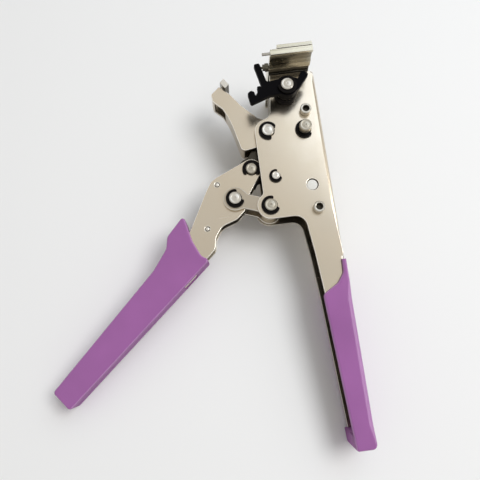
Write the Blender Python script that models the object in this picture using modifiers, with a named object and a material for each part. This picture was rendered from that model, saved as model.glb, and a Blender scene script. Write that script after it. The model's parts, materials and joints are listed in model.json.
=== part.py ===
"""Compound-lever clip-setting pliers, lying on their back with the jaw open.

Frame: metres. The jaw pivot's axis is the Z axis, +Y runs along the straight spine to the head,
+X points to the spine side, +Z points away from the back. Z = 0 is the back of the fixed grip.
"""
import math

import bmesh
import bpy
from mathutils import Matrix, Vector

# Clearances
FIT = 0.0003            # gap left between pieces that touch
EYE_PLAY = 0.0014       # extra play in the jaw tongue's eye, where the linkage is open

# Layers across the tool, from the back of the grip to the front plate
GRIP_WALL = 0.0017      # front and back wall of the fixed grip, and the height of the pin heads
BODY_THICK = 0.0175     # outside width of the folded body channel
SHEET = 0.0015          # body sheet
BEND_R = 0.0020         # outside radius of the body's folds
LINK_THICK = 0.0018
HANDLE_SHEET = 0.0015
JAW_SHEET = 0.0015
JAW_WASHER = 0.00065
MOVING_WALL = 0.0013    # front and back wall of the moving grip

# Pivots and fastener places, X and Y
JAW_PIVOT = (0.0, 0.0)
BRACKET_PIN_AT = (0.0183, -0.0014)
SPRING_POST_AT = (0.0007, -0.0240)
LINK_PIVOT = (-0.0037, -0.0384)
JAW_LINK_PIVOT = (-0.0105, -0.0177)
HANDLE_PIVOT = (-0.02045, -0.0324)
LEVER_PIVOT = (0.0112, 0.0176)
UPPER_SCREW_AT = (0.0201, 0.00825)
LOWER_SCREW_AT = (0.01905, -0.0426)
STOP_PIN_AT = (0.0180, -0.0303)
UPPER_RIVET_AT = (-0.0285, -0.0236)
LOWER_RIVET_AT = (-0.0357, -0.0454)

# Pins and their retaining clips
PIN_R = 0.0030
JAW_LINK_PIN_R = 0.00275
POST_R = 0.0020
PIN_HEAD_R = 0.0045
POST_HEAD_R = 0.0035
INNER_HEAD = 0.0014     # head height of the two pins that ride on the linkage
GROOVE_DEPTH = 0.0008
CLIP_R = 0.00465
POST_CLIP_R = 0.0033
CLIP_THICK = 0.0008
CLIP_MOUTH = 88         # opening of a clip, degrees
PIN_END = 0.0007        # pin left above its groove
BRACKET_PIN_END = 0.0044
RIVET_R = 0.0010
STOP_PIN_R = 0.0027
STOP_PIN_RECESS = 0.0010  # below the front plate's face

# Socket screws and nuts
SCREW_R = 0.0015
SCREW_HEAD_R = 0.00275
SCREW_HEAD = 0.0030
SOCKET_R = 0.00144      # corner radius of the hexagon socket
SOCKET_DEEP = 0.0016
NUT_R = 0.00318         # corner radius of the nut
SPACER_R = 0.0035

# Body plate
SPINE_X = 0.0276        # outside face of the spine
TANG_STEP = 0.0012      # how far the spine is set in under the grip
TANG_STEP_Y = -0.0685
HEAD_TOP_Y = 0.0301
NECK_TOP_X = 0.0049
NECK_LOW_X = 0.0024
BODY_BOSS_R = 0.0066
NECK_FILLET = 0.0042
LINK_FILLET = 0.0020
THROAT = (0.0118, -0.04495)
THROAT_R = 0.0055
NECK_AT = (0.0141, -0.0640)
TANG_TOP_AT = (0.0158, -0.0850)
TANG_END_AT = (0.0192, -0.1470)

# Fixed grip
GRIP_SPINE_WALL = 0.0012
GRIP_END_Y = -0.1541
GRIP_LEFT_TOP = (0.0146, -0.0843)
GRIP_LEFT_END = (0.0185, -0.1541)
GRIP_CREST = (0.0222, -0.0797)
GRIP_HORN = (0.0255, -0.0752)
GRIP_CORNER_R = 0.0025
GRIP_CREST_R = 0.0033
GRIP_EDGE = 0.0010      # rounding of both grips' edges
GRIP_SPINE_EDGE = 0.0026  # larger rounding along the spine, which fades out towards both of its ends
GRIP_SPINE_FADE = 0.0080
GRIP_LEFT_R = 0.0012
GRIP_END_R = 0.0024     # corner between spine and end

# Jaw
JAW_BOSS_R = 0.0070
JAW_EDGE = 0.0005
JAW_THROAT = ((-0.0038, 0.0087), (-0.0115, 0.0168), (-0.0165, 0.0237), (-0.0194, 0.0263))
JAW_NOSE_END = (-0.0216, 0.0285, 0.0004)
JAW_TIP = ((-0.0262, 0.0246, 0.0010), (-0.0257, 0.0208, 0.0010))
JAW_NOTCH = ((-0.0246, 0.0195), (-0.0212, 0.0162))
JAW_BACK = ((-0.0190, 0.0116, 0.0100), (-0.0172, 0.0058), (-0.0139, -0.0082, 0.0026))
TONGUE_EYE_WALL = 0.0024
TONGUE_NECK = 0.0042    # half width between eye and boss
NOSE_WIDE = 0.0042      # press face
NOSE_REACH = 0.0030
NOSE_LEAN = 45          # direction that the nose points in at rest, degrees
CLOSE_ANGLE = 35.5      # jaw swing that lays the press face flat, degrees
NOSE_FACE_AT = (-0.01765, 0.02984)
NOSE_OVERHANG = 0.00225  # nose beyond each cheek
NOSE_SHANK = 0.0045

# Link
LINK_BOSS_R = 0.0060
LINK_NECK = 0.0037      # half width
LINK_NECK_FILLET = 0.0030

# Moving handle
HANDLE_BOSS_R = 0.0054
HANDLE_SPACER_INSET = 0.0007
HANDLE_LEFT = ((-0.0285, -0.0198), (-0.0315, -0.0217, 0.0040), (-0.0345, -0.0266))
HANDLE_TANG = ((-0.0434, -0.0437), (-0.0472, -0.0502, 0.0060), (-0.0995, -0.1040, 0.0020),
               (-0.0958, -0.1082, 0.0020), (-0.0420, -0.0625))
HANDLE_NECK = ((-0.0369, -0.0593), (-0.0330, -0.0557, 0.0030), (-0.0322, -0.0503, 0.0060),
               (-0.0285, -0.0449, 0.0060))
HANDLE_RIGHT = ((-0.0205, -0.0422, 0.0040), (-0.0164, -0.0385, 0.0040), (-0.0133, -0.0306, 0.0100))
HANDLE_CORE = ((-0.0256, -0.0300), (-0.0254, -0.0194))
MOVING_GRIP = ((-0.0467, -0.0374, 0.0013), (-0.0556, -0.0470, 0.0040), (-0.0567, -0.0530, 0.0060),
               (-0.0639, -0.0630, 0.0100), (-0.1143, -0.1132, 0.0016), (-0.1071, -0.1221, 0.0016),
               (-0.0364, -0.0609, 0.0013), (-0.0402, -0.0583, 0.0030), (-0.0436, -0.0508, 0.0060))

# Tape table on the head
TABLE_LEFT_X = 0.0044
TABLE_LONG = 0.0206
TABLE_LOW_Y = 0.0300
TABLE_DEEP = 0.0028
TABLE_REACH = 0.02725   # each way from the mid plane
TABLE_RIM = 0.0015      # from the table's end to its groove
GROOVE_WIDE = 0.0080
TABLE_GROOVE = 0.0011
RIDGE_WIDE = 0.0040
TABLE_RECESS = 0.0009
GUIDE_SETBACK = 0.0035
GUIDE_DEEP = 0.0019
PAD_HALF = 0.0065
PAD_TALL = 0.0044
STEM_LEFT_X = 0.0072
STEM_FOOT_X = 0.0125
STEM_FOOT_Y = -0.0065
STEM_SHOULDER_Y = 0.0095
TABLE_SCREWS_X = (0.0125, 0.0205)
TABLE_SCREW_LONG = 0.0140
LOCATOR_R = 0.0007
LOCATOR_OUT = 0.0040
LOCATOR_IN = 0.0030
LOCATOR_UP = 0.0014     # above the table's underside
LOCATOR_INSET = 0.0013  # from the table's end
POST_OUT = 0.0030
LOCATOR_POST_R = 0.0021
LOCATOR_STEP_R = 0.0016
LOCATOR_STEP = 0.0012
LOCATOR_TIP_R = 0.0006
LOCATOR_TIP = 0.0012
LOCATOR_POST_UP = 0.0014
LOCATOR_POST_INSET = 0.01305

# Tape lever
LEVER_RISE = 0.0056     # underside of the hub above the front plate
LEVER_HUB = 0.0052      # hub height
LEVER_ARM = 0.0028      # arm thickness
LEVER_HUB_R = 0.0052
LEVER_UPPER = ((0.0017, 0.0206, 0.0012), (-0.0004, 0.0300, 0.0006), (-0.0009, 0.0310, 0.0006),
               (-0.0036, 0.0308, 0.0008), (-0.0010, 0.0184))
LEVER_THUMB = ((-0.0022, 0.0190, 0.0004), (-0.0034, 0.0187, 0.0004), (-0.0033, 0.0160, 0.0004),
               (-0.0046, 0.0143), (-0.0051, 0.0163, 0.0005), (-0.0066, 0.0170, 0.0008),
               (-0.0084, 0.0159, 0.0010), (-0.0076, 0.0108, 0.0005), (-0.0069, 0.0101, 0.0005),
               (0.0022, 0.0133, 0.0020))
LEVER_TAIL = ((0.0171, 0.0157, 0.0020), (0.0225, 0.0225, 0.0006), (0.0203, 0.0244, 0.0006),
              (0.0189, 0.0240, 0.0004), (0.0170, 0.0207))

# Springs
LEVER_WIRE = 0.0010
LEVER_COIL_R = 0.0050
LEVER_TURNS = 2.5
LEVER_PITCH = 0.00155
OPEN_WIRE = 0.0010
OPEN_COIL_R = 0.0031
OPEN_TURNS = 4.25
OPEN_PITCH = 0.00155
LEVER_SPRING_FOOT = (0.0092, 0.0091)
LEVER_SPRING_TOP = (0.0147, 0.0233)
OPEN_FOOT_DROP = 0.0100
OPEN_LEG = ((-0.0033, -0.0204), (-0.0052, -0.0213), (-0.0070, -0.0231), (-0.0116, -0.0299))
CURL_POINTS = 10

# Facets
ROUND_SIDES = 16
ARC_STEP = 18           # degrees of arc for each facet of an outline

# Levels worked out from the layers, as distances from the mid plane
BODY_OUT = BODY_THICK / 2
BODY_IN = BODY_OUT - SHEET
LINK_OUT = BODY_IN - FIT
LINK_IN = LINK_OUT - LINK_THICK
HANDLE_OUT = LINK_IN - FIT
HANDLE_IN = HANDLE_OUT - HANDLE_SHEET
CORE = HANDLE_IN - FIT
JAW_OUT = BODY_IN - JAW_WASHER - 2 * FIT
JAW_IN = JAW_OUT - JAW_SHEET
MID = GRIP_WALL + FIT + BODY_OUT
FRONT = MID + BODY_OUT
TANG_X = SPINE_X - TANG_STEP
GRIP_RIGHT_X = TANG_X + FIT + GRIP_SPINE_WALL
TABLE_TOP_Y = TABLE_LOW_Y + TABLE_DEEP
GUIDE_LOW_Y = TABLE_TOP_Y + FIT
GUIDE_TOP_Y = GUIDE_LOW_Y + GUIDE_DEEP
LEVER_LOW = FRONT + LEVER_RISE
LEVER_TOP = LEVER_LOW + LEVER_HUB

for old in list(bpy.data.objects):
    bpy.data.objects.remove(old, do_unlink=True)
parts = bpy.data.collections.new("clip_setting_pliers")
cutters = bpy.data.collections.new("cutters")
bpy.context.scene.collection.children.link(parts)
bpy.context.scene.collection.children.link(cutters)


def finish(name, colour, roughness, metallic):
    """A plain material for one kind of surface."""
    material = bpy.data.materials.new(name)
    material.use_nodes = True
    shader = material.node_tree.nodes["Principled BSDF"]
    shader.inputs["Base Color"].default_value = (*colour, 1.0)
    shader.inputs["Roughness"].default_value = roughness
    shader.inputs["Metallic"].default_value = metallic
    return material


NICKEL = finish("nickel_plate", (0.60, 0.55, 0.46), 0.32, 1.0)
STEEL = finish("ground_steel", (0.62, 0.60, 0.57), 0.25, 1.0)
TOOL_STEEL = finish("milled_steel", (0.42, 0.40, 0.35), 0.38, 1.0)
BLACK_STEEL = finish("black_spring_steel", (0.02, 0.02, 0.022), 0.45, 0.6)
BLACK_NYLON = finish("black_nylon", (0.015, 0.015, 0.017), 0.5, 0.0)
PURPLE = finish("purple_grip", (0.36, 0.15, 0.37), 0.42, 0.0)


def pivot(name, at, parent=None):
    """An empty on a joint's axis, in the mid plane."""
    empty = bpy.data.objects.new(name, None)
    parts.objects.link(empty)
    here = Vector((at[0], at[1], MID))
    if parent:
        empty.parent = parent
        here = here - Vector((*parent["place"], MID))
    empty.location = here
    empty["place"] = at
    return empty


def add(name, mesh, material, axle=None, smooth=True):
    """One named piece; its mesh is given in the tool's frame and moved on to its axle."""
    piece = bpy.data.objects.new(name, mesh)
    mesh.materials.append(material)
    if smooth:
        mesh.shade_smooth()
        mesh.set_sharp_from_angle(angle=math.radians(35))
    parts.objects.link(piece)
    if axle:
        mesh.transform(Matrix.Translation((-axle["place"][0], -axle["place"][1], -MID)))
        piece.parent = axle
    return piece


def cutter(name, mesh, piece):
    """A wire-drawn helper that shapes a piece; it moves with that piece."""
    tool = bpy.data.objects.new(name, mesh)
    tool.display_type = "WIRE"
    tool.hide_render = True
    cutters.objects.link(tool)
    if piece.parent:
        place = piece.parent["place"]
        mesh.transform(Matrix.Translation((-place[0], -place[1], -MID)))
        tool.parent = piece.parent
    return tool


def shape(piece, tool, operation="DIFFERENCE"):
    step = piece.modifiers.new(operation.lower() + "_" + tool.name, "BOOLEAN")
    step.operation = operation
    step.solver = "EXACT"
    step.object = tool


def soften(piece, width, segments=2):
    """Round a piece's sharp edges."""
    step = piece.modifiers.new("rounded_edges", "BEVEL")
    step.width = width
    step.segments = segments
    step.limit_method = "ANGLE"
    step.angle_limit = math.radians(50)


def arc(centre, radius, start, end):
    """Points on an arc from start to end degrees."""
    count = max(2, math.ceil(abs(end - start) / ARC_STEP))
    angles = [math.radians(start + (end - start) * i / count) for i in range(count + 1)]
    return [(centre[0] + radius * math.cos(a), centre[1] + radius * math.sin(a)) for a in angles]


def circle(centre, radius, sides=ROUND_SIDES):
    turn = 2 * math.pi / sides
    return [(centre[0] + radius * math.cos(turn * i), centre[1] + radius * math.sin(turn * i))
            for i in range(sides)]


def rounded(corners):
    """An outline through corners (x, y) or (x, y, radius), with the given corners rounded."""
    outline = []
    for index, corner in enumerate(corners):
        here = Vector(corner[:2])
        radius = corner[2] if len(corner) > 2 else 0.0
        if not radius:
            outline.append(tuple(here))
            continue
        back = (Vector(corners[index - 1][:2]) - here).normalized()
        ahead = (Vector(corners[(index + 1) % len(corners)][:2]) - here).normalized()
        half = back.angle(ahead) / 2
        centre = here + (back + ahead).normalized() * (radius / math.sin(half))
        first = here + back * (radius / math.tan(half)) - centre
        last = here + ahead * (radius / math.tan(half)) - centre
        start = math.degrees(math.atan2(first.y, first.x))
        sweep = math.degrees(math.atan2(first.x * last.y - first.y * last.x, first.dot(last)))
        outline.extend(arc(centre, radius, start, start + sweep))
    return outline


def grown(outline, margin):
    """The same outline, counter-clockwise, moved out by a margin along its corners."""
    moved = []
    count = len(outline)
    for index in range(count):
        here = Vector(outline[index])
        into = (here - Vector(outline[index - 1])).normalized()
        out = (Vector(outline[(index + 1) % count]) - here).normalized()
        normal_in = Vector((into.y, -into.x))
        normal_out = Vector((out.y, -out.x))
        bisector = (normal_in + normal_out).normalized()
        moved.append(tuple(here + bisector * (margin / bisector.dot(normal_in))))
    return moved


def welded(thing):
    """Turn an object into a closed mesh and remove the object."""
    bpy.context.scene.collection.objects.link(thing)
    graph = bpy.context.evaluated_depsgraph_get()
    mesh = bpy.data.meshes.new_from_object(thing.evaluated_get(graph))
    bpy.data.objects.remove(thing, do_unlink=True)
    work = bmesh.new()
    work.from_mesh(mesh)
    bmesh.ops.remove_doubles(work, verts=work.verts, dist=1e-6)
    bmesh.ops.dissolve_degenerate(work, edges=work.edges, dist=1e-7)
    bmesh.ops.recalc_face_normals(work, faces=work.faces)
    work.to_mesh(mesh)
    work.free()
    return mesh


TURN_AXES = {"Z": Matrix.Identity(4),
             "X": Matrix(((0, 0, 1, 0), (1, 0, 0, 0), (0, 1, 0, 0), (0, 0, 0, 1))),
             "Y": Matrix(((0, 1, 0, 0), (0, 0, 1, 0), (1, 0, 0, 0), (0, 0, 0, 1)))}


def slab(outline, low, high, holes=(), axis="Z"):
    """A flat outline given thickness; an X slab's outline is in Y and Z, a Y slab's in Z and X."""
    curve = bpy.data.curves.new("outline", "CURVE")
    curve.dimensions = "2D"
    curve.fill_mode = "BOTH"
    curve.extrude = (high - low) / 2
    for loop in (outline, *holes):
        spline = curve.splines.new("POLY")
        spline.points.add(len(loop) - 1)
        spline.use_cyclic_u = True
        for point, (x, y) in zip(spline.points, loop):
            point.co = (x, y, 0.0, 1.0)
    mesh = welded(bpy.data.objects.new("outline", curve))
    mesh.transform(TURN_AXES[axis] @ Matrix.Translation((0, 0, (low + high) / 2)))
    return mesh


def cushion(outline, low, high, edges, steps=3):
    """A flat outline given thickness, its upper and lower edges rounded by a width for each point."""
    rings = []
    outer = grown(outline, 1.0)
    for step in range(steps + 1):
        turn = math.pi / 2 * step / steps
        inset, rise = 1 - math.sin(turn), 1 - math.cos(turn)
        ring = [(x - (far_x - x) * inset * edge, y - (far_y - y) * inset * edge, rise * edge)
                for (x, y), (far_x, far_y), edge in zip(outline, outer, edges)]
        rings.insert(step, [(x, y, low + z) for x, y, z in ring])
        rings.insert(step + 1, [(x, y, high - z) for x, y, z in ring])
    count = len(outline)
    faces = [list(reversed(range(count))), [count * (len(rings) - 1) + i for i in range(count)]]
    for base in range(0, count * (len(rings) - 1), count):
        for index in range(count):
            after = (index + 1) % count
            faces.append((base + index, base + after, base + count + after, base + count + index))
    mesh = bpy.data.meshes.new("cushion")
    mesh.from_pydata([place for ring in rings for place in ring], [], faces)
    return mesh


def turned(profile, at, axis="Z", sides=ROUND_SIDES):
    """A turned piece from (radius, height) points, top to bottom, on an axis through a point."""
    mesh = bpy.data.meshes.new("profile")
    mesh.from_pydata([(r, 0, h) for r, h in profile], [(i, i + 1) for i in range(len(profile) - 1)], [])
    blank = bpy.data.objects.new("profile", mesh)
    lathe = blank.modifiers.new("lathe", "SCREW")
    lathe.axis = "Z"
    lathe.steps = lathe.render_steps = sides
    lathe.use_merge_vertices = True
    lathe.merge_threshold = 1e-6
    solid = welded(blank)
    solid.transform(Matrix.Translation(at) @ TURN_AXES[axis])
    return solid


def tube_ring(at, inner, outer, low, high, sides=ROUND_SIDES):
    """A plain bush or washer round a Z axis."""
    return slab(circle(at, outer, sides), low, high, [circle(at, inner, sides)])


def dogbone(first, first_r, last, last_r, neck, fillet):
    """Outline of two round bosses joined by a narrower neck."""
    axis = Vector(last) - Vector(first)
    ends = []
    for near_x, radius, turn in ((0.0, first_r, 180), (axis.length, last_r, 0)):
        run = math.sqrt((radius + fillet) ** 2 - (neck + fillet) ** 2)
        meet = math.degrees(math.atan2(neck + fillet, run))
        ends.append((near_x, radius, run, meet, turn))
    near, far = ends
    points = arc((axis.length, 0), far[1], meet_angle(far, -1), meet_angle(far, 1))
    points += arc((axis.length - far[2], neck + fillet), fillet, -far[3], -90)
    points += arc((near[2], neck + fillet), fillet, -90, near[3] - 180)
    points += arc((0, 0), near[1], near[3], 360 - near[3])
    points += arc((near[2], -neck - fillet), fillet, 180 - near[3], 90)
    points += arc((axis.length - far[2], -neck - fillet), fillet, 90, far[3])
    angle = math.atan2(axis.y, axis.x)
    spin = Matrix.Rotation(angle, 2)
    return [tuple(spin @ Vector(p) + Vector(first)) for p in points]


def meet_angle(end, side):
    """Where the far boss's arc meets the neck's fillet, in degrees."""
    return side * (180 - end[3])


def blend_to_boss(line_x, boss, boss_r, fillet):
    """A hollow arc from an edge at line_x down on to a round boss, and where it lands in degrees."""
    centre_x = line_x - fillet
    centre_y = boss[1] + math.sqrt((boss_r + fillet) ** 2 - (centre_x - boss[0]) ** 2)
    toward = math.degrees(math.atan2(boss[1] - centre_y, boss[0] - centre_x))
    return arc((centre_x, centre_y), fillet, 0, toward), toward + 180


def round_spine(piece, from_x, width, segments):
    """Round the edges that run along the spine."""
    mesh = piece.data
    corners = {}
    for face in mesh.polygons:
        for key in face.edge_keys:
            corners.setdefault(key, []).append(face.normal)
    weights = mesh.attributes.new("bevel_weight_edge", "FLOAT", "EDGE")
    for edge in mesh.edges:
        first, last = (mesh.vertices[v].co for v in edge.vertices)
        one, other = corners[edge.key]
        if abs(first.z - last.z) < FIT and one.dot(other) < 0.5:
            along = abs(first.y - last.y) > abs(first.x - last.x) / 3
            weights.data[edge.index].value = float(along and min(first.x, last.x) > from_x)
    step = piece.modifiers.new("rounded_spine", "BEVEL")
    step.limit_method = "WEIGHT"
    step.width = width
    step.segments = segments


def body_channel():
    neck_arc, jaw_start = blend_to_boss(NECK_LOW_X, JAW_PIVOT, BODY_BOSS_R, NECK_FILLET)
    left_x = JAW_PIVOT[0] - BODY_BOSS_R
    link_arc, link_start = blend_to_boss(left_x, LINK_PIVOT, BODY_BOSS_R, LINK_FILLET)
    tang_end_y = TANG_END_AT[1]
    corners = [(SPINE_X, HEAD_TOP_Y), (NECK_TOP_X, HEAD_TOP_Y)] + neck_arc
    corners += arc(JAW_PIVOT, BODY_BOSS_R, jaw_start, 180) + link_arc
    corners += arc(LINK_PIVOT, BODY_BOSS_R, link_start, 270)
    corners += [(*THROAT, THROAT_R), (*NECK_AT, THROAT_R), TANG_TOP_AT, TANG_END_AT, (TANG_X, tang_end_y),
                (TANG_X, TANG_STEP_Y), (SPINE_X, TANG_STEP_Y)]
    holes = [circle(at, r + FIT) for at, r in (
        (JAW_PIVOT, PIN_R), (BRACKET_PIN_AT, PIN_R), (SPRING_POST_AT, POST_R), (LINK_PIVOT, PIN_R),
        (LEVER_PIVOT, PIN_R), (UPPER_SCREW_AT, SCREW_R), (LOWER_SCREW_AT, SCREW_R),
        (STOP_PIN_AT, STOP_PIN_R))]
    body = add("body_channel", slab(rounded(corners), MID - BODY_OUT, MID + BODY_OUT, holes), NICKEL)
    round_spine(body, SPINE_X - FIT, BEND_R, 3)
    away = left_x - BODY_THICK
    web_x, tang_web_x = SPINE_X - SHEET, TANG_X - SHEET
    hollow = [(web_x, HEAD_TOP_Y + SHEET), (away, HEAD_TOP_Y + SHEET), (away, tang_end_y - SHEET),
              (tang_web_x, tang_end_y - SHEET), (tang_web_x, TANG_STEP_Y + SHEET),
              (web_x, TANG_STEP_Y + SHEET)]
    shape(body, cutter("channel_hollow", slab(hollow, MID - BODY_IN, MID + BODY_IN), body))


def fixed_grip():
    top_y = TANG_STEP_Y - FIT
    spine_low, spine_high = GRIP_END_Y + GRIP_END_R + GRIP_SPINE_FADE, GRIP_CREST[1] - GRIP_SPINE_FADE
    outline = rounded([(GRIP_RIGHT_X, GRIP_END_Y, GRIP_END_R), (GRIP_RIGHT_X, spine_low),
                       (GRIP_RIGHT_X, spine_high), (GRIP_RIGHT_X, GRIP_CREST[1]), (GRIP_RIGHT_X, top_y),
                       (GRIP_HORN[0] + FIT, top_y), (*GRIP_HORN, GRIP_CREST_R),
                       (*GRIP_CREST, GRIP_CREST_R), (*GRIP_LEFT_TOP, GRIP_CORNER_R),
                       (*GRIP_LEFT_END, GRIP_LEFT_R)])
    on_spine = [x > GRIP_RIGHT_X - FIT and spine_low - FIT < y < spine_high + FIT for x, y in outline]
    edges = [GRIP_SPINE_EDGE if spine else GRIP_EDGE for spine in on_spine]
    grip = add("fixed_grip", cushion(outline, 0.0, 2 * MID, edges), PURPLE)
    open_x = GRIP_LEFT_TOP[0] - BODY_THICK
    hollow = [(open_x, TANG_END_AT[1] - FIT), (TANG_X + FIT, TANG_END_AT[1] - FIT),
              (TANG_X + FIT, HEAD_TOP_Y), (open_x, HEAD_TOP_Y)]
    shape(grip, cutter("tang_space", slab(hollow, MID - BODY_OUT - FIT, MID + BODY_OUT + FIT), grip))
    relief = [(open_x, TANG_END_AT[1] - FIT), (TANG_END_AT[0] + FIT, TANG_END_AT[1] - FIT),
              (TANG_TOP_AT[0] + FIT, TANG_TOP_AT[1]), (TANG_TOP_AT[0] + FIT, HEAD_TOP_Y),
              (open_x, HEAD_TOP_Y)]
    shape(grip, cutter("back_relief", slab(relief, -GRIP_WALL, MID), grip))


def grooved_pin(name, at, radius, head_r, head_low, head_high, seat, end, axle=None):
    """A headed pin with a groove for its clip; seat is the face that the clip lies on."""
    groove_r = radius - GROOVE_DEPTH
    groove_top = seat + CLIP_THICK + 2 * FIT
    profile = [(0, groove_top + end), (radius, groove_top + end), (radius, groove_top),
               (groove_r, groove_top), (groove_r, seat), (radius, seat), (radius, head_high),
               (head_r, head_high), (head_r, head_low), (0, head_low)]
    add(name, turned(profile, (*at, 0.0)), STEEL, axle)


def clip(name, at, pin_r, outer_r, seat, mouth, axle=None):
    """An open ring in a pin's groove; mouth is the direction that it opens in, in degrees."""
    inner_r = pin_r - GROOVE_DEPTH + FIT
    start = mouth + CLIP_MOUTH / 2
    end = mouth + 360 - CLIP_MOUTH / 2
    outline = arc(at, outer_r, start, end) + arc(at, inner_r, end, start)
    add(name, slab(outline, seat + FIT, seat + FIT + CLIP_THICK), BLACK_STEEL, axle)


def body_pins():
    head = (0.0, GRIP_WALL)
    for name, at, radius, head_r, outer_r, end, mouth in (
            ("jaw_pivot", JAW_PIVOT, PIN_R, PIN_HEAD_R, CLIP_R, PIN_END, -25),
            ("bracket_pin", BRACKET_PIN_AT, PIN_R, PIN_HEAD_R, CLIP_R, BRACKET_PIN_END, 3),
            ("spring_post", SPRING_POST_AT, POST_R, POST_HEAD_R, POST_CLIP_R, PIN_END, 24),
            ("link_pivot", LINK_PIVOT, PIN_R, PIN_HEAD_R, CLIP_R, PIN_END, 20)):
        grooved_pin(name, at, radius, head_r, *head, FRONT, end)
        clip(name + "_clip", at, radius, outer_r, FRONT, mouth)
    grooved_pin("lever_stud", LEVER_PIVOT, PIN_R, PIN_HEAD_R, *head, LEVER_TOP, PIN_END)
    clip("lever_clip", LEVER_PIVOT, PIN_R, CLIP_R, LEVER_TOP, 130)
    dowel = slab(circle(STOP_PIN_AT, STOP_PIN_R), MID - BODY_OUT, FRONT - STOP_PIN_RECESS)
    add("stop_pin", dowel, STEEL)
    add("link_spacer", tube_ring(LINK_PIVOT, PIN_R + FIT, PIN_R + SHEET, MID - LINK_IN + FIT,
                                 MID + LINK_IN - FIT), STEEL)
    for side, name in ((1, "front"), (-1, "back")):
        faces = sorted((MID + side * (JAW_OUT + FIT), MID + side * (BODY_IN - FIT)))
        add("jaw_washer_" + name, tube_ring(JAW_PIVOT, PIN_R + FIT, BODY_BOSS_R - SHEET, *faces), STEEL)


def socket_screw(name, length, place):
    """A cap screw with its head's underside at the origin, moved to its place by a matrix."""
    profile = [(0, SCREW_HEAD), (SCREW_HEAD_R, SCREW_HEAD), (SCREW_HEAD_R, 0), (SCREW_R, 0),
               (SCREW_R, -length), (0, -length)]
    mesh = turned(profile, (0, 0, 0))
    mesh.transform(place)
    screw = add(name, mesh, STEEL)
    socket = slab(circle((0, 0), SOCKET_R, 6), SCREW_HEAD - SOCKET_DEEP, SCREW_HEAD + SOCKET_DEEP)
    socket.transform(place)
    shape(screw, cutter(name + "_socket", socket, screw))


def frame_screws():
    for name, at in (("upper", UPPER_SCREW_AT), ("lower", LOWER_SCREW_AT)):
        seat = FRONT + FIT
        socket_screw(name + "_screw", seat - FIT, Matrix.Translation((*at, seat)))
        nut = slab(circle(at, NUT_R, 6), 0.0, GRIP_WALL, [circle(at, SCREW_R + FIT)])
        add(name + "_nut", nut, STEEL)
    add("lower_spacer", tube_ring(LOWER_SCREW_AT, SCREW_R + FIT, SPACER_R, MID - BODY_IN + FIT,
                                  MID + BODY_IN - FIT), STEEL)


def table_profile():
    """Half of the table's section, from the mid plane out, as (height, distance from the mid plane)."""
    over_body = HEAD_TOP_Y + FIT
    rim = TABLE_REACH - TABLE_RIM
    ridge = rim - GROOVE_WIDE
    recess = ridge - RIDGE_WIDE
    floor = TABLE_LOW_Y + TABLE_GROOVE
    relief = TABLE_LOW_Y + TABLE_RECESS
    return [(over_body, 0.0), (over_body, BODY_OUT + FIT), (relief, BODY_OUT + FIT), (relief, recess),
            (TABLE_LOW_Y, recess), (TABLE_LOW_Y, ridge), (floor, ridge + GROOVE_WIDE / 4),
            (floor, rim - GROOVE_WIDE / 4), (TABLE_LOW_Y, rim), (TABLE_LOW_Y, TABLE_REACH),
            (TABLE_TOP_Y, TABLE_REACH)]


def tape_table():
    right_x = TABLE_LEFT_X + TABLE_LONG
    half = table_profile()
    section = [(y, MID + reach) for y, reach in half] + [(y, MID - reach) for y, reach in reversed(half[1:])]
    table = add("tape_table", slab(section[::-1], TABLE_LEFT_X, right_x, axis="X"), TOOL_STEEL, smooth=False)
    guide_x = TABLE_LEFT_X + GUIDE_SETBACK
    bolt_holes = [circle((MID, x), SCREW_R + FIT) for x in TABLE_SCREWS_X]
    ends = (MID - TABLE_REACH, MID + TABLE_REACH)
    guide_top = [(ends[0], guide_x), (ends[1], guide_x), (ends[1], right_x), (ends[0], right_x)]
    guide = slab(guide_top, GUIDE_LOW_Y, GUIDE_TOP_Y, bolt_holes, axis="Y")
    add("table_guide", guide, TOOL_STEEL, smooth=False)
    pad_top = GUIDE_LOW_Y + PAD_TALL
    pad = [(TABLE_LEFT_X, GUIDE_LOW_Y), (guide_x - FIT, GUIDE_LOW_Y), (guide_x - FIT, pad_top),
           (TABLE_LEFT_X, pad_top)]
    add("press_pad", slab(pad, MID - PAD_HALF, MID + PAD_HALF), STEEL, smooth=False)
    stem_right_x = SPINE_X - SHEET - FIT
    stem = [(STEM_LEFT_X, HEAD_TOP_Y), (STEM_LEFT_X, STEM_SHOULDER_Y),
            (STEM_FOOT_X, STEM_SHOULDER_Y - SHEET), (STEM_FOOT_X, STEM_FOOT_Y),
            (stem_right_x, STEM_FOOT_Y), (stem_right_x, HEAD_TOP_Y)]
    stem_holes = [circle(at, r + FIT) for at, r in (
        (BRACKET_PIN_AT, PIN_R), (UPPER_SCREW_AT, SCREW_R), (LEVER_PIVOT, PIN_R))]
    block = add("table_stem", slab(stem, MID - BODY_IN + FIT, MID + BODY_IN - FIT, stem_holes), STEEL)
    for index, x in enumerate(TABLE_SCREWS_X):
        hole = turned([(0, GUIDE_TOP_Y), (SCREW_R + FIT, GUIDE_TOP_Y),
                       (SCREW_R + FIT, GUIDE_TOP_Y - TABLE_SCREW_LONG - FIT),
                       (0, GUIDE_TOP_Y - TABLE_SCREW_LONG - FIT)], (x, 0.0, MID), axis="Y")
        drill = cutter(f"table_drill_{index + 1}", hole, table)
        shape(table, drill)
        shape(block, drill)
        stand = Matrix.Translation((x, GUIDE_TOP_Y + FIT, MID)) @ TURN_AXES["Y"]
        socket_screw(f"table_screw_{index + 1}", TABLE_SCREW_LONG - FIT, stand)
    locators(table)


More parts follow.
